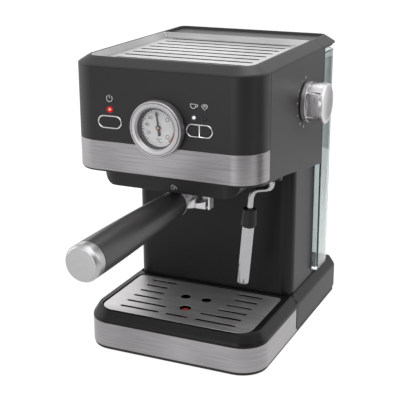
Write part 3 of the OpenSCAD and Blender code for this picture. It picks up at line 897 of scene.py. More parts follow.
@dataclass(frozen=True)
class Glow(Finish):
    """Light that a small lamp spills on the panel round it."""

    colour: Colour
    centre: tuple[float, float, float]
    reach: float
    cover: float

    def dress(self, graph: Graph) -> None:
        """Coloured film that thins out from the lamp to its edge.

        Args:
            graph: The node tree to fill in.
        """
        apart = graph.vector("DISTANCE", graph.place(), [c * METRES for c in self.centre])
        fade = graph.add("MapRange", interpolation_type="SMOOTHERSTEP")
        fade.inputs["From Max"].default_value = self.reach * METRES
        fade.inputs["To Min"].default_value = self.cover
        fade.inputs["To Max"].default_value = 0.0
        graph.link(apart, fade.inputs["Value"])
        graph.set(Emission_Strength=0.9, Roughness=0.6, Specular_IOR_Level=0.0)
        tint = graph.tint(graph.noise(2, 1), self.colour, 0.92)
        graph.feed("Emission Color", tint)
        graph.feed("Base Color", tint)
        graph.feed("Alpha", fade.outputs[0])


@dataclass(frozen=True)
class Palette:
    """Every finish on the machine."""

    charcoal: Finish = MouldedPlastic("charcoal_moulding", (0.0165, 0.0152, 0.0165), 0.44, 0.28)
    panel: Finish = MouldedPlastic("side_panel_moulding", (0.046, 0.0435, 0.0455), 0.5, 0.3)
    rim: Finish = MouldedPlastic("rim_moulding", (0.027, 0.0255, 0.027), 0.46, 0.3)
    lid: Finish = MouldedPlastic("lid_moulding", (0.078, 0.075, 0.077), 0.5, 0.15)
    column: Finish = MouldedPlastic("column_satin", (0.0065, 0.0058, 0.0065), 0.36, 0.2, depth=0.012)
    base: Finish = MouldedPlastic("base_satin", (0.0075, 0.0068, 0.0075), 0.36, 0.17, depth=0.012)
    underside: Finish = MouldedPlastic("underside_satin", (0.014, 0.013, 0.014), 0.4, 0.26)
    handle: Finish = MouldedPlastic("handle_soft_black", (0.026, 0.0245, 0.0255), 0.38, 0.6, depth=0.01)
    button: Finish = MouldedPlastic("button_black", (0.012, 0.0113, 0.0122), 0.4, 0.3)
    inner: Finish = MouldedPlastic("inner_plastic", (0.02, 0.019, 0.02), 0.55)
    rubber: Finish = MouldedPlastic("rubber_black", (0.011, 0.0102, 0.0112), 0.5, 0.3, depth=0.03)
    dial: Finish = MouldedPlastic("dial_enamel", (0.9, 0.9, 0.905), 0.35, 0.3, depth=0.001, mottle=0.01)
    needle: Finish = MouldedPlastic("needle_black", (0.02, 0.02, 0.024), 0.4, 0.3, depth=0.001)
    float_red: Finish = MouldedPlastic("float_red", (0.5, 0.03, 0.02), 0.4, 0.4)
    board: Finish = MouldedPlastic("board_green", (0.02, 0.11, 0.045), 0.45, 0.4)
    light_ink: Finish = MouldedPlastic("light_ink", (0.72, 0.71, 0.72), 0.5, 0.3, depth=0.001)
    dark_ink: Finish = MouldedPlastic("dark_ink", (0.03, 0.03, 0.038), 0.5, 0.3, depth=0.001)
    amber_ink: Finish = MouldedPlastic("amber_ink", (0.5, 0.2, 0.07), 0.5, 0.3, depth=0.001)
    band: Finish = BrushedMetal("band_steel", (0.29, 0.282, 0.288), Grain.ROUND_FRONT, 0.36, 0.15)
    tray: Finish = BrushedMetal("cup_tray_steel", (0.42, 0.415, 0.42), Grain.ACROSS, 0.38, 0.1, depth=0.006)
    grid: Finish = BrushedMetal("grid_steel", (0.54, 0.53, 0.535), Grain.ACROSS, 0.48, 0.16)
    steel: Finish = PolishedMetal("plain_steel", (0.5, 0.5, 0.51), 0.28)
    bezel: Finish = TurnedMetal("bezel_steel", (0.4, 0.392, 0.4), (0, 267), 0.46, 1.1, 0.006)
    cap: Finish = TurnedMetal("cap_aluminium", (0.42, 0.415, 0.42), (0, 177), 0.36, 1.4)
    chrome: Finish = PolishedMetal("chrome", (0.38, 0.375, 0.383), 0.11)
    knob: Finish = BrushedMetal("knob_chrome", (0.6, 0.59, 0.6), Grain.ROUND_KNOB, 0.29, 0.05, 0.04, 0.03)
    ring_chrome: Finish = PolishedMetal("ring_chrome", (0.5, 0.495, 0.5), 0.22)
    polished: Finish = PolishedMetal("satin_casting", (0.64, 0.63, 0.64), 0.4)
    cast: Finish = PolishedMetal("cast_aluminium", (0.5, 0.5, 0.51), 0.4, 0.1, 0.03)
    brass: Finish = PolishedMetal("brass", (0.6, 0.4, 0.18), 0.25)
    hub: Finish = PolishedMetal("hub_brass", (0.5, 0.27, 0.13), 0.35)
    glass: Finish = ThinGlass("gauge_glass", (0.98, 0.98, 0.98))
    tank: Finish = ClearPlastic("tank_clear", (0.64, 0.7, 0.695), 0.04)
    hose: Finish = ClearPlastic("hose_clear", (0.85, 0.88, 0.87), 0.25)
    red_lamp: Finish = Lamp("red_lamp", (1.0, 0.14, 0.1), 3.0)
    white_lamp: Finish = Lamp("white_lamp", (1.0, 1.0, 1.0), 1.0)
    dark_lamp: Finish = MouldedPlastic("dark_lamp", (0.035, 0.034, 0.035), 0.25, 0.5)


paint = Palette()


# ---- Placing pieces ----


def polish_shape(item: Object, edge: float, steps: int) -> None:
    """Rounds an object's sharp edges and shades it smoothly.

    Args:
        item: The mesh object.
        edge: Width of the rounded edges, or 0 to keep them sharp.
        steps: Segments in a rounded edge.
    """
    mesh = item.data
    mesh.polygons.foreach_set("use_smooth", [True] * len(mesh.polygons))
    if not edge:
        mesh.set_sharp_from_angle(angle=math.radians(SHARP_ANGLE))
        return
    bevel = item.modifiers.new("edges", "BEVEL")
    bevel.width, bevel.segments, bevel.limit_method = edge * METRES, steps, "ANGLE"
    bevel.angle_limit = math.radians(SHARP_ANGLE)
    bevel.use_clamp_overlap = False
    weights = item.modifiers.new("weights", "WEIGHTED_NORMAL")
    weights.keep_sharp = True


def piece(
    name: str,
    mesh: Mesh,
    finish: Finish,
    body: str,
    stands_for: Sequence[str] = (),
    edge: float = 0.0,
    steps: int = 2,
) -> Object:
    """Adds one piece of the machine.

    Args:
        name: Name of the piece.
        mesh: Its mesh in the row frame.
        finish: Its finish.
        body: The CAD body that it rides on.
        stands_for: CAD nodes that it replaces.
        edge: Width of its rounded edges.
        steps: Segments in a rounded edge.

    Returns:
        The new object.
    """
    item = shown(mesh, name)
    mesh.name = name
    mesh.materials.clear()
    mesh.materials.append(finish.material())
    polish_shape(item, edge, steps)
    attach(item, body)
    if stands_for:
        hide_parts(*stands_for)
    log.info("%s rides on %s%s", name, body, f", for {', '.join(stands_for)}" if stands_for else "")
    return item


def dress_nodes(finishes: dict[str, Finish]) -> None:
    """Keeps the shapes of CAD nodes and gives each its finish.

    Args:
        finishes: The finish of each node.
    """
    for node, finish in finishes.items():
        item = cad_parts[node]
        material = finish.material()
        if not item.data.materials:
            item.data.materials.append(material)
        for index in range(len(item.data.materials)):
            item.data.materials[index] = material
        weld = item.modifiers.new("weld", "WELD")
        weld.merge_threshold = WELD_DISTANCE * METRES
        log.info("%s keeps its CAD shape in %s", node, finish.name)


@dataclass(frozen=True)
class Spot:
    """A place, or the three sides of a box."""

    x: float
    y: float
    z: float


@dataclass(frozen=True)
class Box:
    """A CAD node's box at rest: two opposite corners, its centre and its sides."""

    lo: Spot
    hi: Spot
    middle: Spot
    size: Spot


def box(node: str) -> Box:
    """Measures the box of a CAD node.

    Args:
        node: Name of the node.

    Returns:
        The box in millimetres.
    """
    lo, hi = (Vector(corner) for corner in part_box(node))
    return Box(*(Spot(*(side / METRES for side in row)) for row in (lo, hi, (lo + hi) / 2, hi - lo)))


# ---- Studio ----


@dataclass(frozen=True)
class Softbox:
    """One rectangular studio lamp that points at the machine."""

    name: str
    place: tuple[float, float, float]
    target: tuple[float, float, float]
    width: float
    height: float
    power: float

    def build(self) -> None:
        """Hangs the lamp."""
        light = bpy.data.lights.new(self.name, "AREA")
        light.shape, light.energy = "RECTANGLE", self.power
        light.size, light.size_y = self.width * METRES, self.height * METRES
        item = shown(light, self.name)
        item.visible_camera = False
        item.location = Vector(self.place) * METRES
        item.rotation_euler = (Vector(self.target) - Vector(self.place)).to_track_quat("-Z", "Y").to_euler()


@dataclass(frozen=True)
class Flag:
    """A dark cloth beside the set, met only by reflections in the metal."""

    name: str
    low: tuple[float, float, float]
    high: tuple[float, float, float]
    tone: float = 0.01

    def build(self) -> None:
        """Hangs the upright cloth between two opposite corners."""
        (x0, y0, z0), (x1, y1, z1) = self.low, self.high
        corners = [(x0, y0, z0), (x1, y1, z0), (x1, y1, z1), (x0, y0, z1)]
        cloth = shown(build_mesh(corners, [[0, 1, 2, 3]]), self.name)
        graph = Graph(self.name)
        graph.set(Base_Color=(self.tone, self.tone, self.tone, 1), Roughness=1.0, Specular_IOR_Level=0.0)
        cloth.data.materials.append(graph.material)
        for kind in ("camera", "diffuse", "transmission", "volume_scatter", "shadow"):
            setattr(cloth, f"visible_{kind}", False)


@dataclass(frozen=True)
class Studio:
    """Camera, lamps, floor and the white room round them."""

    eye: tuple[float, float, float] = (434, -1000.5, 498)
    yaw: float = 24.56
    pitch: float = 17.83
    roll: float = -0.31
    lens: float = 88.29
    floor_size: float = 14000
    lamps: tuple[Softbox, ...] = (
        Softbox("left_softbox", (-1600, -500, 600), (0, 0, 200), 1200, 1500, 9),
        Softbox("front_softbox", (-220, -1850, 500), (0, 0, 200), 600, 800, 8.5),
        Softbox("rear_right_softbox", (1550, 600, 800), (0, 0, 200), 1400, 1400, 9),
        Softbox("rear_left_softbox", (-750, 1300, 550), (0, 0, 300), 800, 600, 1.4),
        Softbox("overhead_softbox", (500, -550, 1500), (0, 0, 250), 1300, 1200, 9),
        Softbox("hair_softbox", (100, 500, 1400), (0, -250, 200), 500, 500, 4.5),
    )
    flags: tuple[Flag, ...] = (
        Flag("horizon_flag", (-1200, -1700, 0), (-750, -1900, 330)),
        Flag("camera_flag", (200, -1400, 0), (1250, -750, 900)),
        Flag("right_flag", (620, -150, 0), (660, 200, 340)),
        Flag("knob_flag", (170, 380, 120), (300, 380, 270), 0.5),
    )

    def build(self) -> None:
        """Sets up the camera, the lamps, the room and the floor."""
        camera = bpy.data.cameras.new("camera")
        camera.lens, camera.sensor_width = self.lens, 36
        camera.clip_start, camera.clip_end = 0.01, 60
        item = shown(camera, "camera")
        item.matrix_world = (
            at(*self.eye)
            @ Matrix.Rotation(math.radians(self.yaw), 4, "Z")
            @ Matrix.Rotation(math.radians(90 - self.pitch), 4, "X")
            @ Matrix.Rotation(math.radians(self.roll), 4, "Z")
        )
        bpy.context.scene.camera = item
        bpy.context.scene.view_settings.view_transform = "Standard"
        for part in (*self.lamps, *self.flags):
            part.build()
        self.build_room()
        self.build_floor()

    def seen_directly(self, tree: bpy.types.NodeTree) -> Socket:
        """1 where a surface is looked at, or seen in a mirror or through glass, else 0.

        Args:
            tree: The node tree to add to.

        Returns:
            The value.
        """
        path = tree.nodes.new("ShaderNodeLightPath")
        total = path.outputs["Is Camera Ray"]
        for name in ("Is Glossy Ray", "Is Transmission Ray"):
            either = tree.nodes.new("ShaderNodeMath")
            either.operation = "MAXIMUM"
            tree.links.new(total, either.inputs[0])
            tree.links.new(path.outputs[name], either.inputs[1])
            total = either.outputs[0]
        return total

    def build_room(self, soft_light: float = 0.36) -> None:
        """White walls to look at, which light the machine softly.

        Args:
            soft_light: Strength of the light that the walls give the machine.
        """
        world = bpy.data.worlds.new("room")
        bpy.context.scene.world = world
        world.use_nodes = True
        tree = world.node_tree
        background = tree.nodes["Background"]
        strength = tree.nodes.new("ShaderNodeMapRange")
        strength.inputs["To Min"].default_value = soft_light
        strength.inputs["To Max"].default_value = 1.0
        tree.links.new(self.seen_directly(tree), strength.inputs["Value"])
        tree.links.new(strength.outputs[0], background.inputs["Strength"])
        background.inputs["Color"].default_value = (1, 1, 1, 1)

    def build_floor(self, fill: float = 0.93) -> None:
        """Pale floor that looks white and keeps the machine's shadow.

        Args:
            fill: Brightness of the floor where it is looked at.
        """
        reach = self.floor_size / 2
        corners = [(-reach, -reach, 0), (reach, -reach, 0), (reach, reach, 0), (-reach, reach, 0)]
        floor = shown(build_mesh(corners, [[0, 1, 2, 3]]), "floor")
        graph = Graph("floor_white")
        graph.set(Roughness=0.9, Specular_IOR_Level=0.1)
        graph.set(Base_Color=(0.2, 0.2, 0.2, 1), Emission_Color=(1, 1, 1, 1))
        glow = graph.add("Math", operation="MULTIPLY")
        glow.inputs[1].default_value = fill
        graph.link(self.seen_directly(graph.tree), glow.inputs[0])
        graph.feed("Emission Strength", glow.outputs[0])
        floor.data.materials.append(graph.material)


# ---- Base and drip tray ----


@dataclass
class Base:
    """The fixed rear half of the base, with its plate, feet and tank socket."""

    bevel_height: float = 11.5
    bevel_reach: float = 7.5
    corner: float = 8
    toe_corner: float = 14
    wall: float = 12
    roof: float = 6
    port_radius: float = 13

    def bevel_section(self, low: float, top: float) -> list[Point]:
        """Insets and heights of the outer face, from its lower edge up over the bevel.

        Args:
            low: Height of the lower edge.
            top: Height of the flat top.

        Returns:
            The section as (inset, height).
        """
        start = top - self.bevel_height
        corners = [(0, low), (0, start), (self.bevel_reach - 1.2, top - 1.4), (self.bevel_reach, top)]
        return rounded(corners, 2.2, closed=False)

    def build(self) -> None:
        """Builds the shell and dresses the pieces below it."""
        shell, column, socket = box("base_rear_shell"), box("column_shell"), box("tank_socket")
        plan = Plan(shell.hi.x, shell.lo.y, shell.hi.y, 0.4, self.corner)
        under = Plan(shell.hi.x - self.wall, column.lo.y + 6, shell.hi.y - self.wall, 8, 4)
        front = Plan(column.hi.x, column.lo.y, column.hi.y, self.toe_corner)
        port = disc((socket.middle.x, socket.middle.y), self.port_radius)
        body = tower(plan, self.bevel_section(shell.lo.z, shell.hi.z))
        body = self.merged(body, prism(front.loop(), shell.lo.z, shell.hi.z))
        hollow = prism(under.loop(), 0, shell.hi.z - self.roof)
        body = carved(body, [hollow, prism(port, 0, shell.hi.z + 1)])
        piece("rear_base", body, paint.base, CHASSIS, ["base_rear_shell"], 0.5)
        self.build_socket(socket)
        dress_nodes({
            "feet": paint.rubber, "base_plate": paint.inner,
            "base_screws": paint.steel, "cord_gland": paint.rubber,
        })

    def merged(self, first: Mesh, second: Mesh) -> Mesh:
        """Union of two solids.

        Args:
            first: One solid.
            second: The other.

        Returns:
            Their union.
        """
        block, other = shown(first), shown(second)
        union = block.modifiers.new("union", "BOOLEAN")
        union.operation, union.solver, union.object = "UNION", "EXACT", other
        mesh = settled(block)
        bpy.data.objects.remove(other)
        return mesh

    def build_socket(self, socket: Box) -> None:
        """The round seat that the tank's valve stands in.

        Args:
            socket: Box of the socket's CAD node.
        """
        place = at(socket.middle.x, socket.middle.y, socket.lo.z)
        height = socket.size.z
        section = [
            (8.5, 3), (8.5, height - 0.8), (9.3, height), (12.9, height),
            (12.9, 4), (16, 4), (16, 0), (4, 0), (4, 3),
        ]
        seat = ring(section, place)
        piece("tank_seat", seat, paint.inner, CHASSIS, ["tank_socket"], 0.3)


@dataclass
class DripTray:
    """Slide-out tray with its steel band, slotted grid and red float."""

    radius: float = 30
    wall: float = 5
    skirt: float = 0.8
    ledge_gap: float = 1.6
    bevel: Base = field(default_factory=Base)
    grid_radius: float = 16.4
    grid_rear_radius: float = 6
    row_pitch: float = 16.1
    first_row: float = -114
    slot_width: float = 4.2
    slot_reach: float = 68
    short_slot_reach: float = 11.5
    sheet: float = 0.35
    sheet_edge: float = 0.08
    slot_starts: tuple[float, ...] = (24, 23, 37, 41, 44, 40)
    drain_radii: tuple[float, ...] = (6.6, 5.8, 5.8)
    drains: tuple[Point, ...] = ((0, -92), (-13, -63), (13, -63))
    float_radius: float = 3.9
    float_foot_radius: float = 11
    float_foot_height: float = 10

    def build(self) -> None:
        """Builds the tray, then what lies on it."""
        self.build_body()
        self.build_band()
        self.build_grid()
        self.build_float()

    def build_body(self) -> None:
        """Moulded tray: bevelled rim, ledge for the grid and a deep sump."""
        tray, grid, column = box("drip_tray"), box("drip_grid"), box("column_shell")
        band, gap = box("tray_band"), self.ledge_gap
        plan = Plan(tray.hi.x, tray.lo.y, tray.hi.y, self.radius)
        lower = [(self.skirt, tray.lo.z), (self.skirt, band.hi.z)]
        outer = [*lower, *self.bevel.bevel_section(band.hi.z, tray.hi.z)]
        half, front = tray.hi.x - self.wall, tray.lo.y + self.wall
        sump = Plan(half, front, column.lo.y - 5, self.radius - self.wall, 6)
        mouth = Plan(grid.hi.x - 2, grid.lo.y + 2, grid.hi.y - 2, 15, 8)
        ledge = Plan(grid.hi.x + gap, grid.lo.y - gap, grid.hi.y + 1.4, 18, 8)
        toe = Plan(column.hi.x + 0.4, column.lo.y - 0.4, column.hi.y, 14.4)
        body = carved(
            tower(plan, outer),
            [
                prism(sump.loop(), tray.lo.z + 2.7, band.hi.z + 1.4),
                prism(mouth.loop(), band.hi.z, tray.hi.z + 1),
                prism(ledge.loop(), grid.lo.z - 0.3, tray.hi.z + 1),
                prism(toe.loop(), 0, tray.hi.z + 1),
            ],
        )
        piece("tray_shell", body, paint.base, "tray", ["drip_tray"], 0.45)
        post = [(0, 0), (2.2, 0), (2.2, 23), (1.4, 24), (0, 24)]
        place = at(0, self.drains[0][1], tray.lo.z + 1.7)
        piece("float_post", lathe(post, place, 32), paint.base, "tray")

    def build_band(self) -> None:
        """Brushed steel band round the front, left bare."""
        band = box("tray_band")
        plan = Plan(band.hi.x, band.lo.y, band.hi.y, self.radius)
        mesh = hoop(plan, strip(band.lo.z, band.hi.z, self.skirt), Opening.REAR)
        piece("tray_front_band", mesh, paint.band, "tray", ["tray_band"], 0.3)

    def build_grid(self) -> None:
        """Slotted steel grid with drain holes."""
        grid = box("drip_grid")
        plan = Plan(grid.hi.x, grid.lo.y, grid.hi.y, self.grid_radius, self.grid_rear_radius)
        holes = [disc(spot, radius) for spot, radius in zip(self.drains, self.drain_radii)]
        for row, start in enumerate(self.slot_starts):
            y = self.first_row + self.row_pitch * row
            for x0, x1 in ((start, self.slot_reach), (-self.slot_reach, -start)):
                holes.append(bar(x0, x1, y, self.slot_width))
        holes.append(bar(-self.short_slot_reach, self.short_slot_reach, self.first_row, self.slot_width))
        place = at(0, 0, grid.hi.z - self.sheet)
        mesh = plate([plan.loop(), *holes], self.sheet, self.sheet_edge, place)
        piece("grid_plate", mesh, paint.grid, "grid", ["drip_grid"])

    def build_float(self) -> None:
        """Red float with a rounded tip and a wide foot."""
        body = box("float")
        height, start = body.size.z, self.float_foot_height + 0.2
        bore, tip, wide, step = 2.3, self.float_radius, self.float_foot_radius, self.float_foot_height
        section = rounded([(bore, start), (tip, start), (tip, height), (0, height)], 1.2, closed=False)
        place = at(body.middle.x, body.middle.y, body.lo.z)
        mesh = lathe(section, place, 48)
        piece("float_tip", mesh, paint.float_red, "level_float", ["float"])
        foot = rounded([(bore, 0), (wide, 0), (wide, step), (bore, step)], 1.2)
        piece("float_foot", ring(foot, place, 48), paint.inner, "level_float")


# ---- Column and rear ----


@dataclass
class Column:
    """The box column between base and head, and the machine's rear wall."""

    radius: float = 14
    wall: float = 2.8
    first_vent: float = 241.5
    vent_pitch: float = 10
    vent_reach: float = 58.5
    vent_width: float = 3
    vents: int = 6

    def build(self) -> None:
        """Builds the column's shell and the rear wall."""
        shell, cover = box("column_shell"), box("rear_cover")
        plan = Plan(shell.hi.x, shell.lo.y, shell.hi.y, self.radius)
        mesh = hoop(plan, strip(shell.lo.z, shell.hi.z, self.wall), Opening.REAR)
        piece("column_front", mesh, paint.column, CHASSIS, ["column_shell"], 0.4)
        low, top, step = cover.lo.z, cover.hi.z, box("side_panel_left").lo.z
        half, narrow = cover.hi.x, shell.hi.x
        outline = [
            (-narrow, low), (narrow, low), (narrow, step), (half, step),
            (half, top), (-half, top), (-half, step), (-narrow, step),
        ]
        heights = [self.first_vent + self.vent_pitch * i for i in range(self.vents)]
        slots = [bar(-self.vent_reach, self.vent_reach, z, self.vent_width) for z in heights]
        place = facing_user(0, cover.hi.y, 0)
        mesh = plate([outline, *slots], cover.size.y, 0.4, place)
        piece("rear_wall", mesh, paint.charcoal, CHASSIS, ["rear_cover"])


# ---- Head ----


@dataclass
class Head:
    """Front shell, steel band, side panels and the belly that holds the brew group."""

    radius: float = 29
    wall: float = 2.8
    band_thick: float = 0.8
    single_width: float = 28
    pair_width: float = 29.6
    button_height: float = 14
    lamp_apart: float = 6
    lamp_hole: float = 1.6
    power_x: float = -57
    pair_x: float = 43.5
    panel_z: float = 267
    lamp_rise: float = 13
    spindle_hole: float = 4.5
    cut_heights: tuple[float, float] = (150, 260)
    floor_inset: float = 3.6
    belly_half: float = 78
    belly_front: float = -130
    belly_radius: float = 26
    belly_round: float = 14

    def build(self) -> None:
        """Builds the head from its band upwards, then its underside."""
        self.build_shell()
        self.build_band()
        self.build_sides()
        self.build_belly()

    def plan(self) -> Plan:
        """Outline of the front shell."""
        shell = box("head_shell")
        return Plan(shell.hi.x, shell.lo.y, shell.hi.y, self.radius)

    def build_shell(self) -> None:
        """The moulded front, with openings for the buttons and their lamps."""
        shell, band = box("head_shell"), box("head_band")
        skirt, back, out = self.band_thick, -8, 4
        section = [
            (skirt, shell.lo.z), (skirt, band.hi.z), (0, band.hi.z), (0, shell.hi.z),
            (self.wall, shell.hi.z), (self.wall, shell.lo.z),
        ]
        tools = []
        for x, width in ((self.power_x, self.single_width), (self.pair_x, self.pair_width)):
            place = facing_user(x, shell.lo.y, self.panel_z)
            tools.append(prism(pill(width, self.button_height), back, out, place))
        for x in (self.power_x, self.pair_x - self.lamp_apart, self.pair_x + self.lamp_apart):
            place = facing_user(x, shell.lo.y, self.panel_z + self.lamp_rise)
            tools.append(prism(disc((0, 0), self.lamp_hole, 24), back, out, place))
        mesh = carved(hoop(self.plan(), section, Opening.REAR), tools)
        piece("head_front", mesh, paint.charcoal, CHASSIS, ["head_shell"], 0.4)

    def build_band(self) -> None:
        """Brushed steel band round the lower edge of the head."""
        band = box("head_band")
        mesh = hoop(self.plan(), strip(band.lo.z, band.hi.z, self.band_thick), Opening.REAR)
        piece("head_front_band", mesh, paint.band, CHASSIS, ["head_band"], 0.3)

    def build_sides(self) -> None:
        """The two flat side panels; the right one has the knob's hole."""
        shell, knob = box("head_shell"), box("knob")
        for node, name in (("side_panel_left", "left_side"), ("side_panel_right", "right_side")):
            panel = box(node)
            outline = [
                (panel.lo.y, shell.lo.z - 1), (panel.hi.y, panel.lo.z),
                (panel.hi.y, panel.hi.z), (panel.lo.y, panel.hi.z),
            ]
            spindle = disc((knob.middle.y, knob.middle.z), self.spindle_hole, 32)
            holes = [spindle] if name == "right_side" else []
            mesh = plate([outline, *holes], panel.size.x, 0.5, facing_right(panel.lo.x, 0, 0))
            piece(name, mesh, paint.panel, CHASSIS, [node])

    def build_belly(self) -> None:
        """The head's floor and the rounded belly under it."""
        under, ring_box, wand = box("head_underside"), box("group_ring"), box("wand_socket")
        column, shell = box("column_shell"), box("head_shell")
        seat_hole = disc((ring_box.middle.x, ring_box.middle.y), ring_box.size.x / 2 + 0.1, 72)
        seat = prism(seat_hole, *self.cut_heights)
        swivel = prism(disc((wand.middle.x, wand.middle.y), wand.size.x / 2, 48), *self.cut_heights)
        floor = tower(self.plan(), [(1.2, shell.lo.z - 2), (1.2, shell.lo.z)])
        front = shell.lo.y + self.floor_inset
        wedge_side = [
            (front, shell.lo.z - 2), (front, shell.lo.z + 1.5),
            (column.lo.y, shell.lo.z - 11), (column.lo.y, shell.lo.z - 15),
        ]
        reach = shell.hi.x - 3
        wedge = prism(wedge_side, -reach, reach, facing_right(0, 0, 0))
        round_plan = Plan(reach, front, column.lo.y, 25)
        wedge = carved(wedge, [prism(round_plan.loop(), *self.cut_heights)], keep_common=True)
        for name, mesh in (("head_floor_lip", floor), ("head_floor", wedge)):
            mesh = carved(mesh, [seat, swivel])
            piece(name, mesh, paint.underside, CHASSIS, (), 0.3)
        half, turn = self.belly_half, self.belly_round
        side = arc((half - turn, under.lo.z + turn), turn, 270, 360, 10)
        profile = [*side, (half, shell.lo.z), (-half, shell.lo.z), *[(-x, z) for x, z in reversed(side)]]
        body = prism(profile, 0, column.lo.y - self.belly_front, facing_user(0, column.lo.y, 0))
        outline = Plan(half + 8, self.belly_front, column.lo.y, self.belly_radius)
        body = carved(body, [prism(outline.loop(), *self.cut_heights)], keep_common=True)
        body = carved(body, [seat])
        piece("belly", body, paint.underside, CHASSIS, ["head_underside"], 0.8, 3)


# ---- Top of the head ----


def rim_slope(low: float, top: float, lip: float) -> list[Point]:
    """Outer side of the moulded rim, from its lower edge up over its bevel."""
    corners = [(0, low), (0, low + 1.5), (lip - 3, top - 1.8), (lip, top)]
    return rounded(corners, 1.6, closed=False)


@dataclass
class TopDeck:
    """Moulded rim round the cup tray, and the slotted steel tray inside it."""

    radius: float = 29
    rim_width: float = 13.5
    ledge_width: float = 18
    slot_width: float = 5.6
    slot_reach: float = 71
    slot_pitch: float = 19.4
    first_slot: float = -101
    slots: int = 8
    sheet: float = 0.3
    sheet_edge: float = 0.08

    def build(self) -> None:
        """Builds the rim, then the tray."""
        rim = box("top_frame")
        low, ledge, width, wide = rim.lo.z, rim.lo.z + 2, self.rim_width, self.ledge_width
        outer = rim_slope(low, rim.hi.z, width - 1.5)
        inner = [(width, rim.hi.z), (width, ledge), (wide, ledge), (wide, low)]
        plan = Plan(rim.hi.x, rim.lo.y, rim.hi.y, self.radius)
        mesh = hoop(plan, [*outer, *inner], Opening.REAR)
        piece("deck_rim", mesh, paint.rim, CHASSIS, ["top_frame"], 0.3)
        half, front = rim.hi.x - width, rim.hi.y - 4
        wall = [(-half, front), (half, front), (half, rim.hi.y), (-half, rim.hi.y)]
        mesh = prism(wall, low, rim.hi.z - 4)
        piece("deck_rear_wall", mesh, paint.rim, CHASSIS, (), 0.5)
        self.build_tray()

    def build_tray(self) -> None:
        """Steel cup tray: a flat slotted floor with a raised, rolled edge."""
        tray, rim = box("cup_tray"), box("top_frame")
        plan = Plan(tray.hi.x, tray.lo.y, tray.hi.y, self.radius - self.rim_width, 3)
        half = tray.hi.x
        slots = [
            bar(-self.slot_reach, self.slot_reach, self.first_slot + self.slot_pitch * row, self.slot_width)
            for row in range(self.slots)
        ]
        floor_plan = Plan(half - 2, plan.front + 2, plan.rear - 1, plan.front_radius - 2, 3)
        place = at(0, 0, tray.hi.z - self.sheet)
        floor = plate([floor_plan.loop(), *slots], self.sheet, self.sheet_edge, place)
        piece("cup_tray_floor", floor, paint.tray, CHASSIS, ["cup_tray"])
        low, top, foot = tray.lo.z, rim.hi.z - 0.2, 5.4
        section = [
            (0, low), (0, top - 0.6), (0.6, top), (1.6, top),
            (2.2, top - 0.8), (foot, low + 1.3), (foot, low + 0.5), (2, low),
        ]
        piece("cup_tray_edge", hoop(plan, section), paint.tray, CHASSIS, (), 0.3)


# ---- Front panel ----


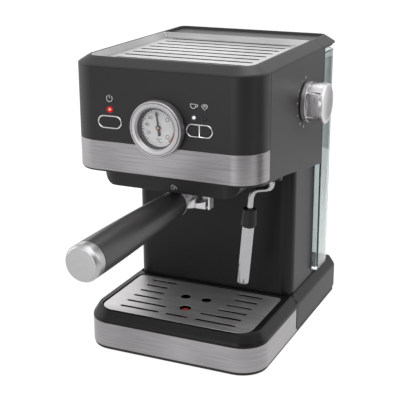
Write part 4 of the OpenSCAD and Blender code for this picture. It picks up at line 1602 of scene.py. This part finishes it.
@dataclass
class Thermometer:
    """Round thermometer on the front of the head."""

    radius: float = 28.5
    opening: float = 20.6
    depth: float = 12
    dial_height: float = 1.5
    first_tick: float = 225.0
    last_tick: float = 80.0
    ticks: int = 17
    tick_end: float = 19.3
    short_tick: float = 17.6
    long_tick: float = 16.4
    lone_ticks: tuple[float, ...] = (48, -6)
    sign_angles: tuple[float, ...] = (42, -43)
    figures: tuple[str, ...] = ("20", "40", "60", "80")
    figure_reach: float = 13.2
    figure_size: float = 4.8
    unit_size: float = 6
    needle_height: float = 3.4
    needle_rest: float = 8
    needle_length: float = 16.5

    def place(self, height: float = 0.0) -> Matrix:
        """Place on the dial's axis, at a height over the head's front."""
        shell, bezel = box("head_shell"), box("gauge_bezel")
        return facing_user(bezel.middle.x, shell.lo.y - height, bezel.middle.z)

    def build(self) -> None:
        """Builds the bezel, the dial with its print, the needle and the glass."""
        r, o, d = self.radius, self.opening, self.depth
        section = [
            (o, self.dial_height - 1), (o, d - 2.2), (o + 0.9, d - 1.0), (o + 1.7, d - 0.3),
            (o + 2.4, d), (r - 2.7, d), (r - 2.4, d - 0.4), (r - 2.2, d - 1.6),
            (r - 1.6, d - 1.6), (r - 1.4, d - 0.7), (r - 0.8, d - 0.6), (r - 0.2, d - 1.2),
            (r, d - 2.2), (r, 3.2), (r - 0.8, 2.4), (r - 0.8, 0), (r - 4.1, 0),
            (r - 4.1, -7.8), (o, -7.8),
        ]
        mesh = ring(section, self.place(), 128)
        piece("bezel", mesh, paint.bezel, CHASSIS, ["gauge_bezel"])
        snug = o - 0.05
        collar = [(snug, 2.4), (snug, d - 2.6), (o - 0.7, d - 2.9), (o - 0.9, 2.4)]
        piece("gauge_collar", ring(collar, self.place()), paint.inner, CHASSIS)
        self.build_dial()
        self.build_needle()
        pane = rounded([(0, 8.4), (snug, 8.4), (snug, 9.6), (0, 9.6)], 0.2, closed=False)
        piece("gauge_pane", lathe(pane, self.place()), paint.glass, CHASSIS, ["gauge_lens"])

    def spot(self, angle: float, reach: float) -> Point:
        """Point on the dial at an angle in degrees and a distance from the middle."""
        return (reach * math.cos(math.radians(angle)), reach * math.sin(math.radians(angle)))

    def build_dial(self) -> None:
        """White dial, and its ticks, figures and signs."""
        face = [(0, 0), (self.opening - 0.1, 0), (self.opening - 0.1, 0.8), (0, 0.8)]
        mesh = lathe(face, self.place(self.dial_height))
        piece("dial_face", mesh, paint.dial, CHASSIS, ["gauge_dial"])
        top = self.place(self.dial_height + 0.82)
        sweep, end = self.last_tick - self.first_tick, self.tick_end
        angles = [self.first_tick + sweep * i / (self.ticks - 1) for i in range(self.ticks)]
        starts = [self.short_tick if i % 4 else self.long_tick for i in range(self.ticks)]
        marks = [[self.spot(a, start), self.spot(a, end)] for a, start in zip(angles, starts)]
        marks.append(arc((0, 0), end, self.first_tick, self.last_tick, 40))
        marks += [[self.spot(a, 17.2), self.spot(a, 18.8)] for a in self.lone_ticks]
        piece("dial_scale", strokes(marks, 0.6, top), paint.dark_ink, CHASSIS)
        for i, text in enumerate(self.figures):
            x, y = self.spot(angles[2 + 4 * i], self.figure_reach)
            mesh = lettering(text, self.figure_size, top @ at(x, y, 0))
            piece(f"dial_figure_{text}", mesh, paint.dark_ink, CHASSIS)
        sign = lettering("°C", self.unit_size, top @ at(0, -13.6, 0))
        piece("dial_unit", sign, paint.dark_ink, CHASSIS)
        cups = []
        for angle in self.sign_angles:
            x, y = self.spot(angle, 13)
            cups.append([(x + u * 2, y + v * 2) for u, v in disc((0, 0), 0.95, 16)] + [(x + 1.9, y)])
        piece("dial_signs", strokes(cups, 0.55, top), paint.dark_ink, CHASSIS)
        limit = [arc((0, 0), 17.4, -12, -52, 14)]
        piece("dial_limit", strokes(limit, 1.7, top), paint.amber_ink, CHASSIS)

    def build_needle(self) -> None:
        """Needle with a ring hub, a brass pin and a counterweight."""
        turn = Matrix.Rotation(math.radians(self.needle_rest), 4, "Z")
        place, reach = self.place(self.needle_height) @ turn, self.needle_length
        blade = [(-0.9, 0), (0.9, 0), (0.45, reach), (-0.45, reach)]
        tail = [(-0.9, 0), (0.9, 0), (1.3, -6.5), *arc((0, -7), 1.5, 0, -180, 12), (-1.3, -6.5)]
        shaft = lathe([(0, -6), (0.85, -6), (0.85, 0), (0, 0)], place, 24)
        hub_side = rounded([(0, 0), (2.6, 0), (2.6, 1.2), (1.6, 1.5), (0, 1.5)], 0.3, closed=False)
        hub = lathe(hub_side, place, 40)
        shape = joined([prism(blade, 0, 0.6, place), prism(tail, 0, 0.6, place), shaft, hub])
        piece("needle_blade", shape, paint.needle, "gauge_needle", ["needle"])
        pin = lathe([(0, 1.4), (1.45, 1.4), (1.2, 1.9), (0, 2)], place, 32)
        piece("needle_pin", pin, paint.hub, "gauge_needle")


@dataclass
class ButtonPanel:
    """The single button and the button pair, their lamps and printed signs."""

    head: Head = field(default_factory=Head)
    stand: float = 0.8
    frame_width: float = 3.4
    frame_edge: float = 0.7
    cap_gap: float = 0.3
    bridge: float = 1.8
    lens_radius: float = 1.25
    sign_rise: float = 24.5
    sign_stroke: float = 0.68
    small_sign_scale: float = 1.14

    def build(self) -> None:
        """Builds rings, caps, lamps and signs."""
        self.build_rings()
        self.build_caps()
        self.build_lamps()
        self.build_signs()

    def on_panel(self, x: float, rise: float = 0.0, out: float = 0.0) -> Matrix:
        """Place on the front panel, rise above the buttons' line and out of its surface."""
        return facing_user(x, box("head_shell").lo.y - out, self.head.panel_z + rise)

    def build_rings(self) -> None:
        """Chrome rings with rounded faces."""
        head, back = self.head, -self.head.wall
        low, wide = head.button_height - self.frame_width, head.pair_width - self.frame_width
        hole = pill(head.single_width - self.frame_width, low)
        halves = [self.half_pill(side, wide, low, self.bridge / 2) for side in (-1, 1)]
        single = (head.power_x, head.single_width, [hole])
        pair = (head.pair_x, head.pair_width, halves)
        frames = []
        for x, width, holes in (single, pair):
            outlines, place = [pill(width, head.button_height), *holes], self.on_panel(x, 0, back)
            frames.append(plate(outlines, head.wall + self.stand, self.frame_edge, place))
        piece("button_frames", joined(frames), paint.ring_chrome, CHASSIS, ["button_rings"])

    def half_pill(self, side: int, width: float, height: float, gap: float) -> list[Point]:
        """Half of a pill, cut off square at a small gap from the middle.

        Args:
            side: -1 for the left half and 1 for the right one.
            width: Width of the whole pill.
            height: Its height.
            gap: Distance of the cut from the middle.

        Returns:
            The outline.
        """
        reach = (width - height) / 2
        end = arc((reach, 0), height / 2, -90, 90, 16)
        outline = [(gap, -height / 2), *end, (gap, height / 2)]
        return outline if side > 0 else [(-x, y) for x, y in reversed(outline)]

    def build_caps(self) -> None:
        """Black button caps, slightly crowned at their edges."""
        head = self.head
        thick, back = head.wall + self.stand + 0.2, -head.wall - 0.2
        less = self.frame_width + 2 * self.cap_gap
        height, gap = head.button_height - less, self.bridge / 2 + self.cap_gap
        left, right = (self.half_pill(side, head.pair_width - less, height, gap) for side in (-1, 1))
        whole = pill(head.single_width - less, height)
        shapes = (
            ("power_cap", head.power_x, whole, "power_key", "power_button"),
            ("brew_cap", head.pair_x, left, "brew_key", "brew_button"),
            ("steam_cap", head.pair_x, right, "steam_key", "steam_button"),
        )
        for name, x, outline, body, node in shapes:
            mesh = plate([outline], thick, self.frame_edge, self.on_panel(x, 0, back))
            piece(name, mesh, paint.button, body, [node])

    def build_lamps(self) -> None:
        """One red lamp lit, one white lamp lit and one dark."""
        head, r = self.head, self.lens_radius
        brew_x, steam_x = head.pair_x - head.lamp_apart, head.pair_x + head.lamp_apart
        lens = rounded([(0, -5), (r, -5), (r, 0.1), (0.9, 0.5), (0, 0.6)], 0.2, closed=False)
        lamps = (
            ("power_lamp", head.power_x, paint.red_lamp, "lamp_red", ["power_lens"]),
            ("brew_lamp", brew_x, paint.white_lamp, "lamp_white", ["status_lenses"]),
            ("steam_lamp", steam_x, paint.dark_lamp, "lamp_white", []),
        )
        for name, x, finish, slot, nodes in lamps:
            mesh = lathe(lens, self.on_panel(x, head.lamp_rise), 32)
            piece(name, mesh, finish, CHASSIS, nodes)
        for name, x, colour, reach, cover, slot in (
            ("power_glow", head.power_x, (1.0, 0.02, 0.015), 4.8, 0.42, "lamp_red"),
            ("brew_glow", brew_x, (0.9, 0.9, 1.0), 3.4, 0.16, "lamp_white"),
        ):
            place = self.on_panel(x, self.head.lamp_rise, 0.05)
            halo = Glow(name, colour, tuple(place.translation / METRES), reach, cover)
            film = lathe([(0, 0), (reach, 0), (reach, 0.03), (0, 0.03)], place, 48)
            piece(name, film, halo, CHASSIS)

    def build_signs(self) -> None:
        """Printed power, cup and steam signs."""
        power = [arc((0, 0), 3.3, 55, -235, 24), [(0, 0.5), (0, 4.1)]]
        cup = [
            [(-3, 1.8), (2.2, 1.8), *arc((-0.4, 0.4), 2.4, 0, -180, 12), (-3, 1.8)],
            arc((2.9, 0.7), 1.1, 90, -120, 8),
        ]
        steam = [
            [(x, 2.6), (x + 0.5, 1.7), (x, 0.8), (x + 0.4, 0)] for x in (-1.2, 0, 1.2)
        ] + [[(-2.2, 2), (-2.6, 0.2), (-1.2, -1.2), (0, -2.6), (1.4, -1.2), (2.8, 0.2), (2.4, 2)]]
        for name, x, lines in (
            ("power_sign", self.head.power_x, power),
            ("cup_sign", self.head.pair_x - 6.2, cup),
            ("steam_sign", self.head.pair_x + 5.6, steam),
        ):
            scale = 1.0 if name == "power_sign" else self.small_sign_scale
            lines = [[(u * scale, v * scale) for u, v in line] for line in lines]
            mesh = strokes(lines, self.sign_stroke, self.on_panel(x, self.sign_rise, 0.02))
            piece(name, mesh, paint.light_ink, CHASSIS)


# ---- Brew group and coffee holder ----


@dataclass
class BrewGroup:
    """The bayonet ring and what shows of the group under the belly."""

    def build(self) -> None:
        """Dresses the group's CAD pieces and prints the lock sign."""
        dress_nodes({
            "group_ring": paint.cast, "shower_screen": paint.steel, "group_gasket": paint.rubber,
            "boiler_lower": paint.cast, "boiler_upper": paint.cast, "boiler_bolts": paint.steel,
            "thermostats": paint.inner,
        })
        place = facing_user(6.2, Head.belly_front - 0.05, 200.3)
        lock = [
            disc((-0.6, -0.2), 2.3, 20) + [(1.7, -0.2)],
            [(-0.9, 0.6), (-0.2, -0.6), (0.9, -0.4)],
            arc((1.4, -1.2), 2.2, 80, -25, 10),
        ]
        piece("lock_sign", strokes(lock, 0.5, place), paint.light_ink, CHASSIS)


@dataclass
class CoffeeHolder:
    """Twin-spout holder with its basket, long handle and end cap."""

    ear_span: float = 44.0
    ear_reach: float = 36.2
    ear_height: float = 4.6
    bowl_radius: float = 32.6
    neck_radius: float = 8.5
    grip_radius: float = 14.4
    end_radius: float = 18
    stem_inner: float = 4
    web_length: float = 24
    outlet_x: float = 19.5
    outlet_depth: float = 4
    trough_front: float = 3
    trough_rear: float = 8
    trough_wall: float = 2.2
    trough_back: float = 12
    dish_radius: float = 52
    dish_half_angle: float = 22.6
    dish_middle: float = 57.1

    def along(self, y: float) -> Matrix:
        """Place on the handle's axis at y, its height running towards the user."""
        grip = box("handle")
        return facing_user(grip.middle.x, y, grip.middle.z)

    def build(self) -> None:
        """Builds the bowl, spout and handle."""
        self.build_bowl()
        self.build_spout()
        self.build_handle()
        dress_nodes({"handle_bolt": paint.steel, "basket": paint.steel})

    def ear(self, turn: float, low: float) -> Mesh:
        """One bayonet ear round the axis, centred on an angle in degrees.

        Args:
            turn: Angle of its middle, in degrees.
            low: Height of its lower face.

        Returns:
            The mesh.
        """
        centre, high = box("group_ring").middle, low + self.ear_height
        start, end = turn - self.ear_span / 2, turn + self.ear_span / 2
        inner, outer = self.bowl_radius - 1, self.ear_reach
        rails = [
            [(x, y, z) for x, y in arc((centre.x, centre.y), r, start, end, 14)]
            for r, z in ((inner, low), (outer, low), (outer, high), (inner, high))
        ]
        return skin(rails, looped_rails=False, looped_section=True)

    def build_bowl(self) -> None:
        """Polished bowl with two bayonet ears, a hub below it and a neck for the handle."""
        spout, basket, group = box("twin_spout"), box("basket"), box("group_ring").middle
        low, top = spout.hi.z, basket.hi.z - 1
        radius, inner = self.bowl_radius, basket.size.x / 2 - 4
        corners = [(5, low), (radius - 3, low), (radius, low + 3), (radius, top)]
        outer = rounded(corners, 2.2, closed=False)
        profile = [*outer, (inner, top), (inner, low + 2.6), (5, low + 2.6)]
        place = at(group.x, group.y, 0)
        ledge = low + 18.7
        parts = [ring(profile, place), self.ear(0, ledge), self.ear(180, ledge)]
        hub_low, grip = box("portafilter_body").lo.z, box("handle")
        r, end, bore = self.neck_radius, self.grip_radius, self.stem_inner
        hub = [(bore, 6), (bore, 0), (r - 0.5, 0), (r + 0.5, 1), (r + 0.5, low + 1 - hub_low)]
        parts.append(lathe(hub, at(group.x, group.y, hub_low), 64))
        web_place = at(group.x, group.y - self.web_length / 2, grip.middle.z)
        web_place = web_place @ Matrix.Rotation(math.pi / 2, 4, "Z")
        web = pill(self.web_length + r, 2 * r - 0.6)
        parts.append(plate([web], low + 1 - grip.middle.z, 0.8, web_place))
        length = group.y - grip.hi.y
        neck = [
            (0, 0), (r, 0), (r, length - 26), (12, length - 5), (12.4, length - 3.4),
            (end - 0.6, length - 3), (end, length - 2.4), (end, length), (0, length),
        ]
        parts.append(lathe(neck, self.along(group.y), 72))
        mesh = joined(parts)
        piece("holder_bowl", mesh, paint.polished, "portafilter", ["portafilter_body"])

    def build_spout(self) -> None:
        """Double outlet: an open trough with a dished front wall and two tall ends."""
        spout, y = box("twin_spout"), box("group_ring").middle.y
        low, rise, half = spout.lo.z, spout.size.z, spout.hi.x
        front, rear, wall = y - self.trough_front, y + self.trough_rear, self.trough_wall
        floor = plate([self.floor_outline(half, front, rear)], 2.4, 0.5, at(0, 0, low))
        lean, foot = self.dish_half_angle, self.outlet_x + 0.5
        curve = arc((0, self.dish_middle), self.dish_radius, 270 - lean, 270 + lean, 20)
        dish = [*curve, (foot, 0), (-foot, 0)]
        parts = [floor, plate([dish], 2, 0.6, facing_user(0, front + 2, low))]
        for side in (-1, 1):
            side_plate = at(side * half - (wall if side > 0 else 0), 0, 0)
            outer = [(front, low), (rear, low), (rear, low + rise), (front, low + rise)]
            parts.append(plate([rounded(outer, 1.5)], wall, 0.6, side_plate @ facing_right(0, 0, 0)))
            edge, end = side * self.trough_back, side * half
            back = [(edge, 0), (end, 0), (end, rise), (edge, rise)]
            parts.append(plate([back[::side]], 2, 0.6, facing_user(0, rear, low)))
        lip = [(-13, 0), (13, 0), (13, 6), (-13, 6)]
        parts.append(plate([lip], 2, 0.4, facing_user(0, rear, low)))
        stem = [(2.6, 0), (3.8, 0), (3.8, 6), (2.6, 6)]
        parts.append(ring(stem, at(0, y + 3, low), 32))
        piece("spout", joined(parts), paint.polished, "portafilter", ["twin_spout"])

    def floor_outline(self, half: float, front: float, rear: float) -> list[Point]:
        """The trough's floor, with a notch for each outlet at its front edge.

        Args:
            half: Half of the floor's width.
            front: Y of its front edge.
            rear: Y of its rear edge.

        Returns:
            The outline.
        """
        notch, depth = (self.outlet_x + 0.5, half - self.trough_wall), self.outlet_depth
        right = [(notch[0], front), (notch[0], front + depth), (notch[1], front + depth), (notch[1], front)]
        left = [(-x, y) for x, y in reversed(right)]
        return [*left, *right, (half, front), (half, rear), (-half, rear), (-half, front)]

    def build_handle(self) -> None:
        """Swelling black grip and its turned metal cap."""
        grip, cap = box("handle"), box("handle_end_cap")
        steps, length = 24, grip.size.y
        start, end = self.grip_radius, self.end_radius
        swell = [
            (start + (end - start) * math.sin(math.pi / 2 * i / steps), 2 + (length - 2) * i / steps)
            for i in range(steps + 1)
        ]
        profile = [
            (4, 0.2), (12.4, 0.2), (13.6, 0.9), *swell,
            (end - 0.5, length - 0.1), (4, length - 0.1),
        ]
        mesh = ring(profile, self.along(grip.hi.y))
        piece("grip", mesh, paint.handle, "portafilter", ["handle"])
        depth = cap.size.y
        face = rounded(
            [(0, 0.1), (end, 0.1), (end, depth - 3.2), (end - 2.4, depth), (0.2, depth)],
            0.9, False,
        )
        mesh = lathe([*face, (0, depth)], self.along(cap.hi.y))
        piece("grip_cap", mesh, paint.cap, "portafilter", ["handle_end_cap"])


# ---- Steam knob and wand ----


@dataclass
class SteamKnob:
    """Chrome steam knob on the right side, with its printed dots."""

    radius: float = 22
    base_height: float = 6.5
    grip_end: float = 23
    flats: int = 2
    flat_half: float = 39.0
    first_flat: float = 180.0
    recess: float = 4.4
    bore: float = 3.2
    dome_base: float = 24.2
    dome_rise: float = 2.2
    dots: int = 6
    first_dot: float = 116.0
    dot_step: float = 28.8
    dot_reach: float = 27
    dot_radius: float = 0.5
    dot_growth: float = 0.2
    print_height: float = 0.08

    def place(self) -> Matrix:
        """Place on the knob's axis, its height running out to the right."""
        knob = box("knob")
        return facing_right(box("side_panel_right").hi.x, knob.middle.y, knob.middle.z)

    def build(self) -> None:
        """Builds the knob, its domed face and the print round it."""
        self.build_grip()
        self.build_face()
        self.build_print()
        dress_nodes({"valve_spindle": paint.brass})

    def outline(self, waist: float, steps: int = 180) -> list[Point]:
        """Outline of the grip: round where waist is 0, and with slightly crowned flats where it is 1.

        Args:
            waist: 0 for a round outline, 1 for full flats.
            steps: Number of points.

        Returns:
            The outline.
        """
        points = []
        half_share = 180 / self.flats
        for i in range(steps):
            angle = 360 * i / steps
            turn = (angle - self.first_flat + half_share) % (2 * half_share) - half_share
            inward = 0.0
            if abs(turn) < self.flat_half:
                inward = self.recess * math.cos(math.radians(turn / self.flat_half * 90)) ** 0.8
            radius = self.radius - inward * waist - 0.3
            points.append((radius * math.cos(math.radians(angle)), radius * math.sin(math.radians(angle))))
        return points

    def build_grip(self) -> None:
        """Base ring and the grip above it, with two flats between two round ends."""
        r, low, high, bore = self.radius, self.base_height, self.grip_end, self.bore
        side = [(bore, 0.8), (r - 0.6, 0.8), (r, 1.4), (r, low - 0.6), (r - 0.5, low), (bore, low)]
        base = ring(side, self.place())
        heights = (
            (0, low - 0.2), (0, low + 0.1), (1, low + 0.5), (1, high - 2.3), (0, high - 1.9), (0, high),
        )
        rails = [[(x, y, h) for x, y in self.outline(waist)] for waist, h in heights]
        grip = skin(rails)
        grip.transform(self.place())
        piece("knob_grip", joined([base, grip]), paint.knob, "steam_knob", ["knob"])

    def build_face(self) -> None:
        """Domed face with a short pointer line."""
        cap = self.radius - 0.5
        base, rise = self.dome_base, self.dome_rise
        turns = [math.radians(9 * i) for i in range(10)]
        dome = [(cap * math.cos(a), base + rise * math.sin(a)) for a in turns]
        face = [(0, self.grip_end), (cap, self.grip_end), *dome, (0, base + rise)]
        piece("knob_face", lathe(face, self.place()), paint.knob, "steam_knob", ["knob_cap"])
        line = strokes([[(0, 9.5), (0, 16.5)]], 1.5, self.place() @ at(0, 0, 25.6))
        piece("knob_line", line, paint.light_ink, "steam_knob")

    def build_print(self) -> None:
        """Dots that grow from the top round the front to the bottom, and a stroke at the top."""
        dots = []
        for i in range(self.dots):
            angle = math.radians(self.first_dot + self.dot_step * i)
            spot = (self.dot_reach * math.cos(angle), self.dot_reach * math.sin(angle))
            dot = disc(spot, self.dot_radius + self.dot_growth * i, 20)
            dots.append(prism(dot, 0, self.print_height, self.place()))
        dots.append(strokes([[(-2.2, 25.6), (0.6, 27.2)]], 1.3, self.place()))
        piece("knob_dots", joined(dots), paint.light_ink, CHASSIS)


@dataclass
class SteamWand:
    """Polished steam pipe with its rubber grip and frothing sleeve."""

    swivel: tuple[float, float, float] = (90, -64.5, 206)
    pipe_radius: float = 3.2
    runs: tuple[tuple[float, float, float], ...] = (
        (9.3, 8, 78.0), (7.8, 12, -73.0), (94.8, 0.0, 0.0),
    )
    grip_start: float = 11.4
    grip_length: float = 20.2
    sleeve_start: float = 32
    sleeve_end: float = 99.2
    sleeve_radius: float = 6.9
    sleeve_bore: float = 3.3
    tip_bore: float = 1.6
    ball_radius: float = 7

    def path(self) -> list[Vector]:
        """The pipe's line, in the plane across the machine.

        Returns:
            Points from the swivel to the lower end.
        """
        point, heading = Vector(self.swivel), 0.0
        line = [point.copy()]
        for run, bend, turn in self.runs:
            point = point + self.ahead(heading) * run
            line.append(point.copy())
            steps = 12 if turn else 0
            for i in range(steps):
                step = math.radians(turn) / steps
                point = point + self.ahead(heading + step / 2) * (2 * bend * math.sin(abs(step) / 2))
                heading += step
                line.append(point.copy())
        return line

    def ahead(self, heading: float) -> Vector:
        """Direction of the pipe at a heading; 0 is straight down."""
        return Vector((-math.sin(heading), 0, -math.cos(heading)))

    def along(self) -> Matrix:
        """Place at the start of the long run, its height running down the wand.

        Returns:
            The place.
        """
        line = self.path()
        direction = (line[-1] - line[-2]).normalized()
        return at(*line[-2]) @ direction.to_track_quat("Z", "Y").to_matrix().to_4x4()

    def build(self) -> None:
        """Builds the pipe, the grip and the sleeve."""
        line = self.path()
        ball = arc((0, 0), self.ball_radius, -90, 90, 18)
        knuckle = lathe([(max(r, 0.0), z) for r, z in ball], at(line[0].x, line[0].y, line[0].z + 3), 48)
        pipe = tube(line, self.pipe_radius, 32)
        piece("wand_pipe", joined([pipe, knuckle]), paint.chrome, "steam_wand", ["wand_tube"])
        dress_nodes({"wand_socket": paint.underside})
        bore, length = self.pipe_radius, self.grip_length
        side = [(7.1, 0), (7.7, 1), (8, 9), (8.8, 17), (8.8, length - 0.8), (7.9, length)]
        grip = rounded([(bore, 0), *side, (bore, length)], 1.4)
        place = self.along() @ at(0, 0, self.grip_start)
        piece("wand_rubber", ring(grip, place, 64), paint.rubber, "steam_wand", ["wand_grip"])
        self.build_sleeve()

    def build_sleeve(self) -> None:
        """Bright sleeve, narrowed at its tip."""
        r, length = self.sleeve_radius, self.sleeve_end - self.sleeve_start
        bore, tip = self.sleeve_bore, self.tip_bore
        outer = [(bore, 0), (r, 0), (r, length - 1.4), (r - 1.2, length)]
        inner = [(tip, length), (tip, length - 5), (bore, length - 5)]
        place = self.along() @ at(0, 0, self.sleeve_start)
        mesh = ring(rounded([*outer, *inner], 0.5), place, 64)
        piece("sleeve", mesh, paint.chrome, "frothing_sleeve", ["froth_sleeve"])


# ---- Water tank ----


@dataclass
class WaterTank:
    """Clear tank behind the head, with its valve and hinged lid."""

    radius: float = 18
    wall: float = 2.5
    floor: float = 3
    port: float = 7
    lug_x: float = 60
    lug_width: float = 8
    lug_radius: float = 3.2
    lid_radius: float = 20
    rim_width: float = 13.5
    depth: float = 55
    pin_hole: float = 1.25
    lug_drop: float = 16
    dish_drop: float = 3.4
    notch_half: float = 4.4
    notch_front: float = 4.2
    notch_rear: float = 16
    plug_front: float = 63

    def build(self) -> None:
        """Builds the tank, the lid and what joins them."""
        self.build_tank()
        self.build_lid()
        dress_nodes({"tank_valve": paint.inner, "lid_pins": paint.steel})

    def build_tank(self) -> None:
        """Clear moulded cup with rounded edges and two hinge lugs."""
        tank, pins, valve = box("water_tank"), box("lid_pins"), box("tank_valve")
        low, top = tank.lo.z, box("tank_lid").lo.z - 4
        plan = Plan(tank.hi.x, tank.lo.y, box("side_panel_left").hi.y + self.depth, 3, self.radius)
        inside, ground = self.wall, low + self.floor
        corners = [(5, low), (0, low), (0, top), (inside, top), (inside, ground), (7, ground)]
        section = rounded(corners, 1.2, closed=False)
        port = prism(disc((valve.middle.x, valve.middle.y), self.port), 0, low + 5)
        parts = [carved(tower(plan, section), [port])]
        for side in (-1, 1):
            y, z, r = pins.middle.y, pins.middle.z, self.lug_radius
            foot = top - self.lug_drop
            lug = [*arc((y, z), r, 0, 180, 16), (y - r, foot), (y + r, foot)]
            place = facing_right(side * self.lug_x - self.lug_width / 2, 0, 0)
            parts.append(plate([lug, disc((y, z), self.pin_hole, 20)], self.lug_width, 0.5, place))
        piece("tank_cup", joined(parts), paint.tank, "tank", ["water_tank"])

    def build_lid(self) -> None:
        """Moulded lid: bevelled rim round a dished top, and a plug that sits in the tank."""
        lid, rim = box("tank_lid"), box("top_frame")
        low, top, front, rear = rim.lo.z, rim.hi.z, lid.lo.y, lid.hi.y
        plan = Plan(rim.hi.x, front, rear, 0.4, self.lid_radius)
        width = self.rim_width
        outer = rim_slope(low, top, width - 1.5)
        inner = [(width, top), (width + 1, low + 3), (width + 1, low)]
        dish = Plan(rim.hi.x - width, front, rear - width, 0.4, self.lid_radius - width)
        plug = Plan(box("water_tank").hi.x - 1, self.plug_front, rear - 2, 0.4, self.radius)
        bar_plan = Plan(dish.half, front, front + 3, 0.3, 0.3)
        shapes = {
            "lid_rim": hoop(plan, [*outer, *inner], Opening.FRONT),
            "lid_dish": prism(dish.loop(), low, top - self.dish_drop),
            "lid_front_wall": prism(bar_plan.loop(), low, top - 4),
            "lid_plug": prism(plug.loop(), lid.lo.z, low),
        }
        for name, mesh in shapes.items():
            cut = mesh if name == "lid_front_wall" else carved(mesh, self.notches(low, top))
            stands_for = ["tank_lid"] if name == "lid_rim" else ()
            finish = paint.lid if name == "lid_dish" else paint.rim
            piece(name, cut, finish, "lid", stands_for, 0.4)

    def notches(self, low: float, top: float) -> list[Mesh]:
        """Blocks that clear the tank's two hinge lugs from the lid.

        Args:
            low: Height of the rim's lower edge.
            top: Height of the rim's upper edge.

        Returns:
            One block for each lug.
        """
        y, half = box("lid_pins").middle.y, self.notch_half
        front, rear = y - self.notch_front, y + self.notch_rear
        blocks = []
        for x in (-self.lug_x, self.lug_x):
            block = [(x - half, front), (x + half, front), (x + half, rear), (x - half, rear)]
            blocks.append(prism(block, low - 12, top + 9))
        return blocks


# ---- Inner works ----


@dataclass
class InnerWorks:
    """Pump, pipes and wiring that stay inside the housings."""

    finishes: dict[str, Finish] = field(default_factory=lambda: {
        "pump": paint.inner, "suction_hose": paint.hose, "pressure_hose": paint.hose,
        "steam_valve": paint.brass, "steam_pipes": paint.steel, "control_board": paint.board,
        "switches": paint.inner,
    })

    def build(self) -> None:
        """Dresses each inner node."""
        dress_nodes(self.finishes)


def main() -> None:
    logging.basicConfig(level=logging.INFO, format="%(message)s")
    assemblies = (
        Studio(), Base(), DripTray(), Column(), Head(), TopDeck(), Thermometer(), ButtonPanel(),
        BrewGroup(), CoffeeHolder(), SteamKnob(), SteamWand(), WaterTank(), InnerWorks(),
    )
    for assembly in assemblies:
        log.info("%s", type(assembly).__name__)
        assembly.build()


if __name__ == "__main__":
    main()
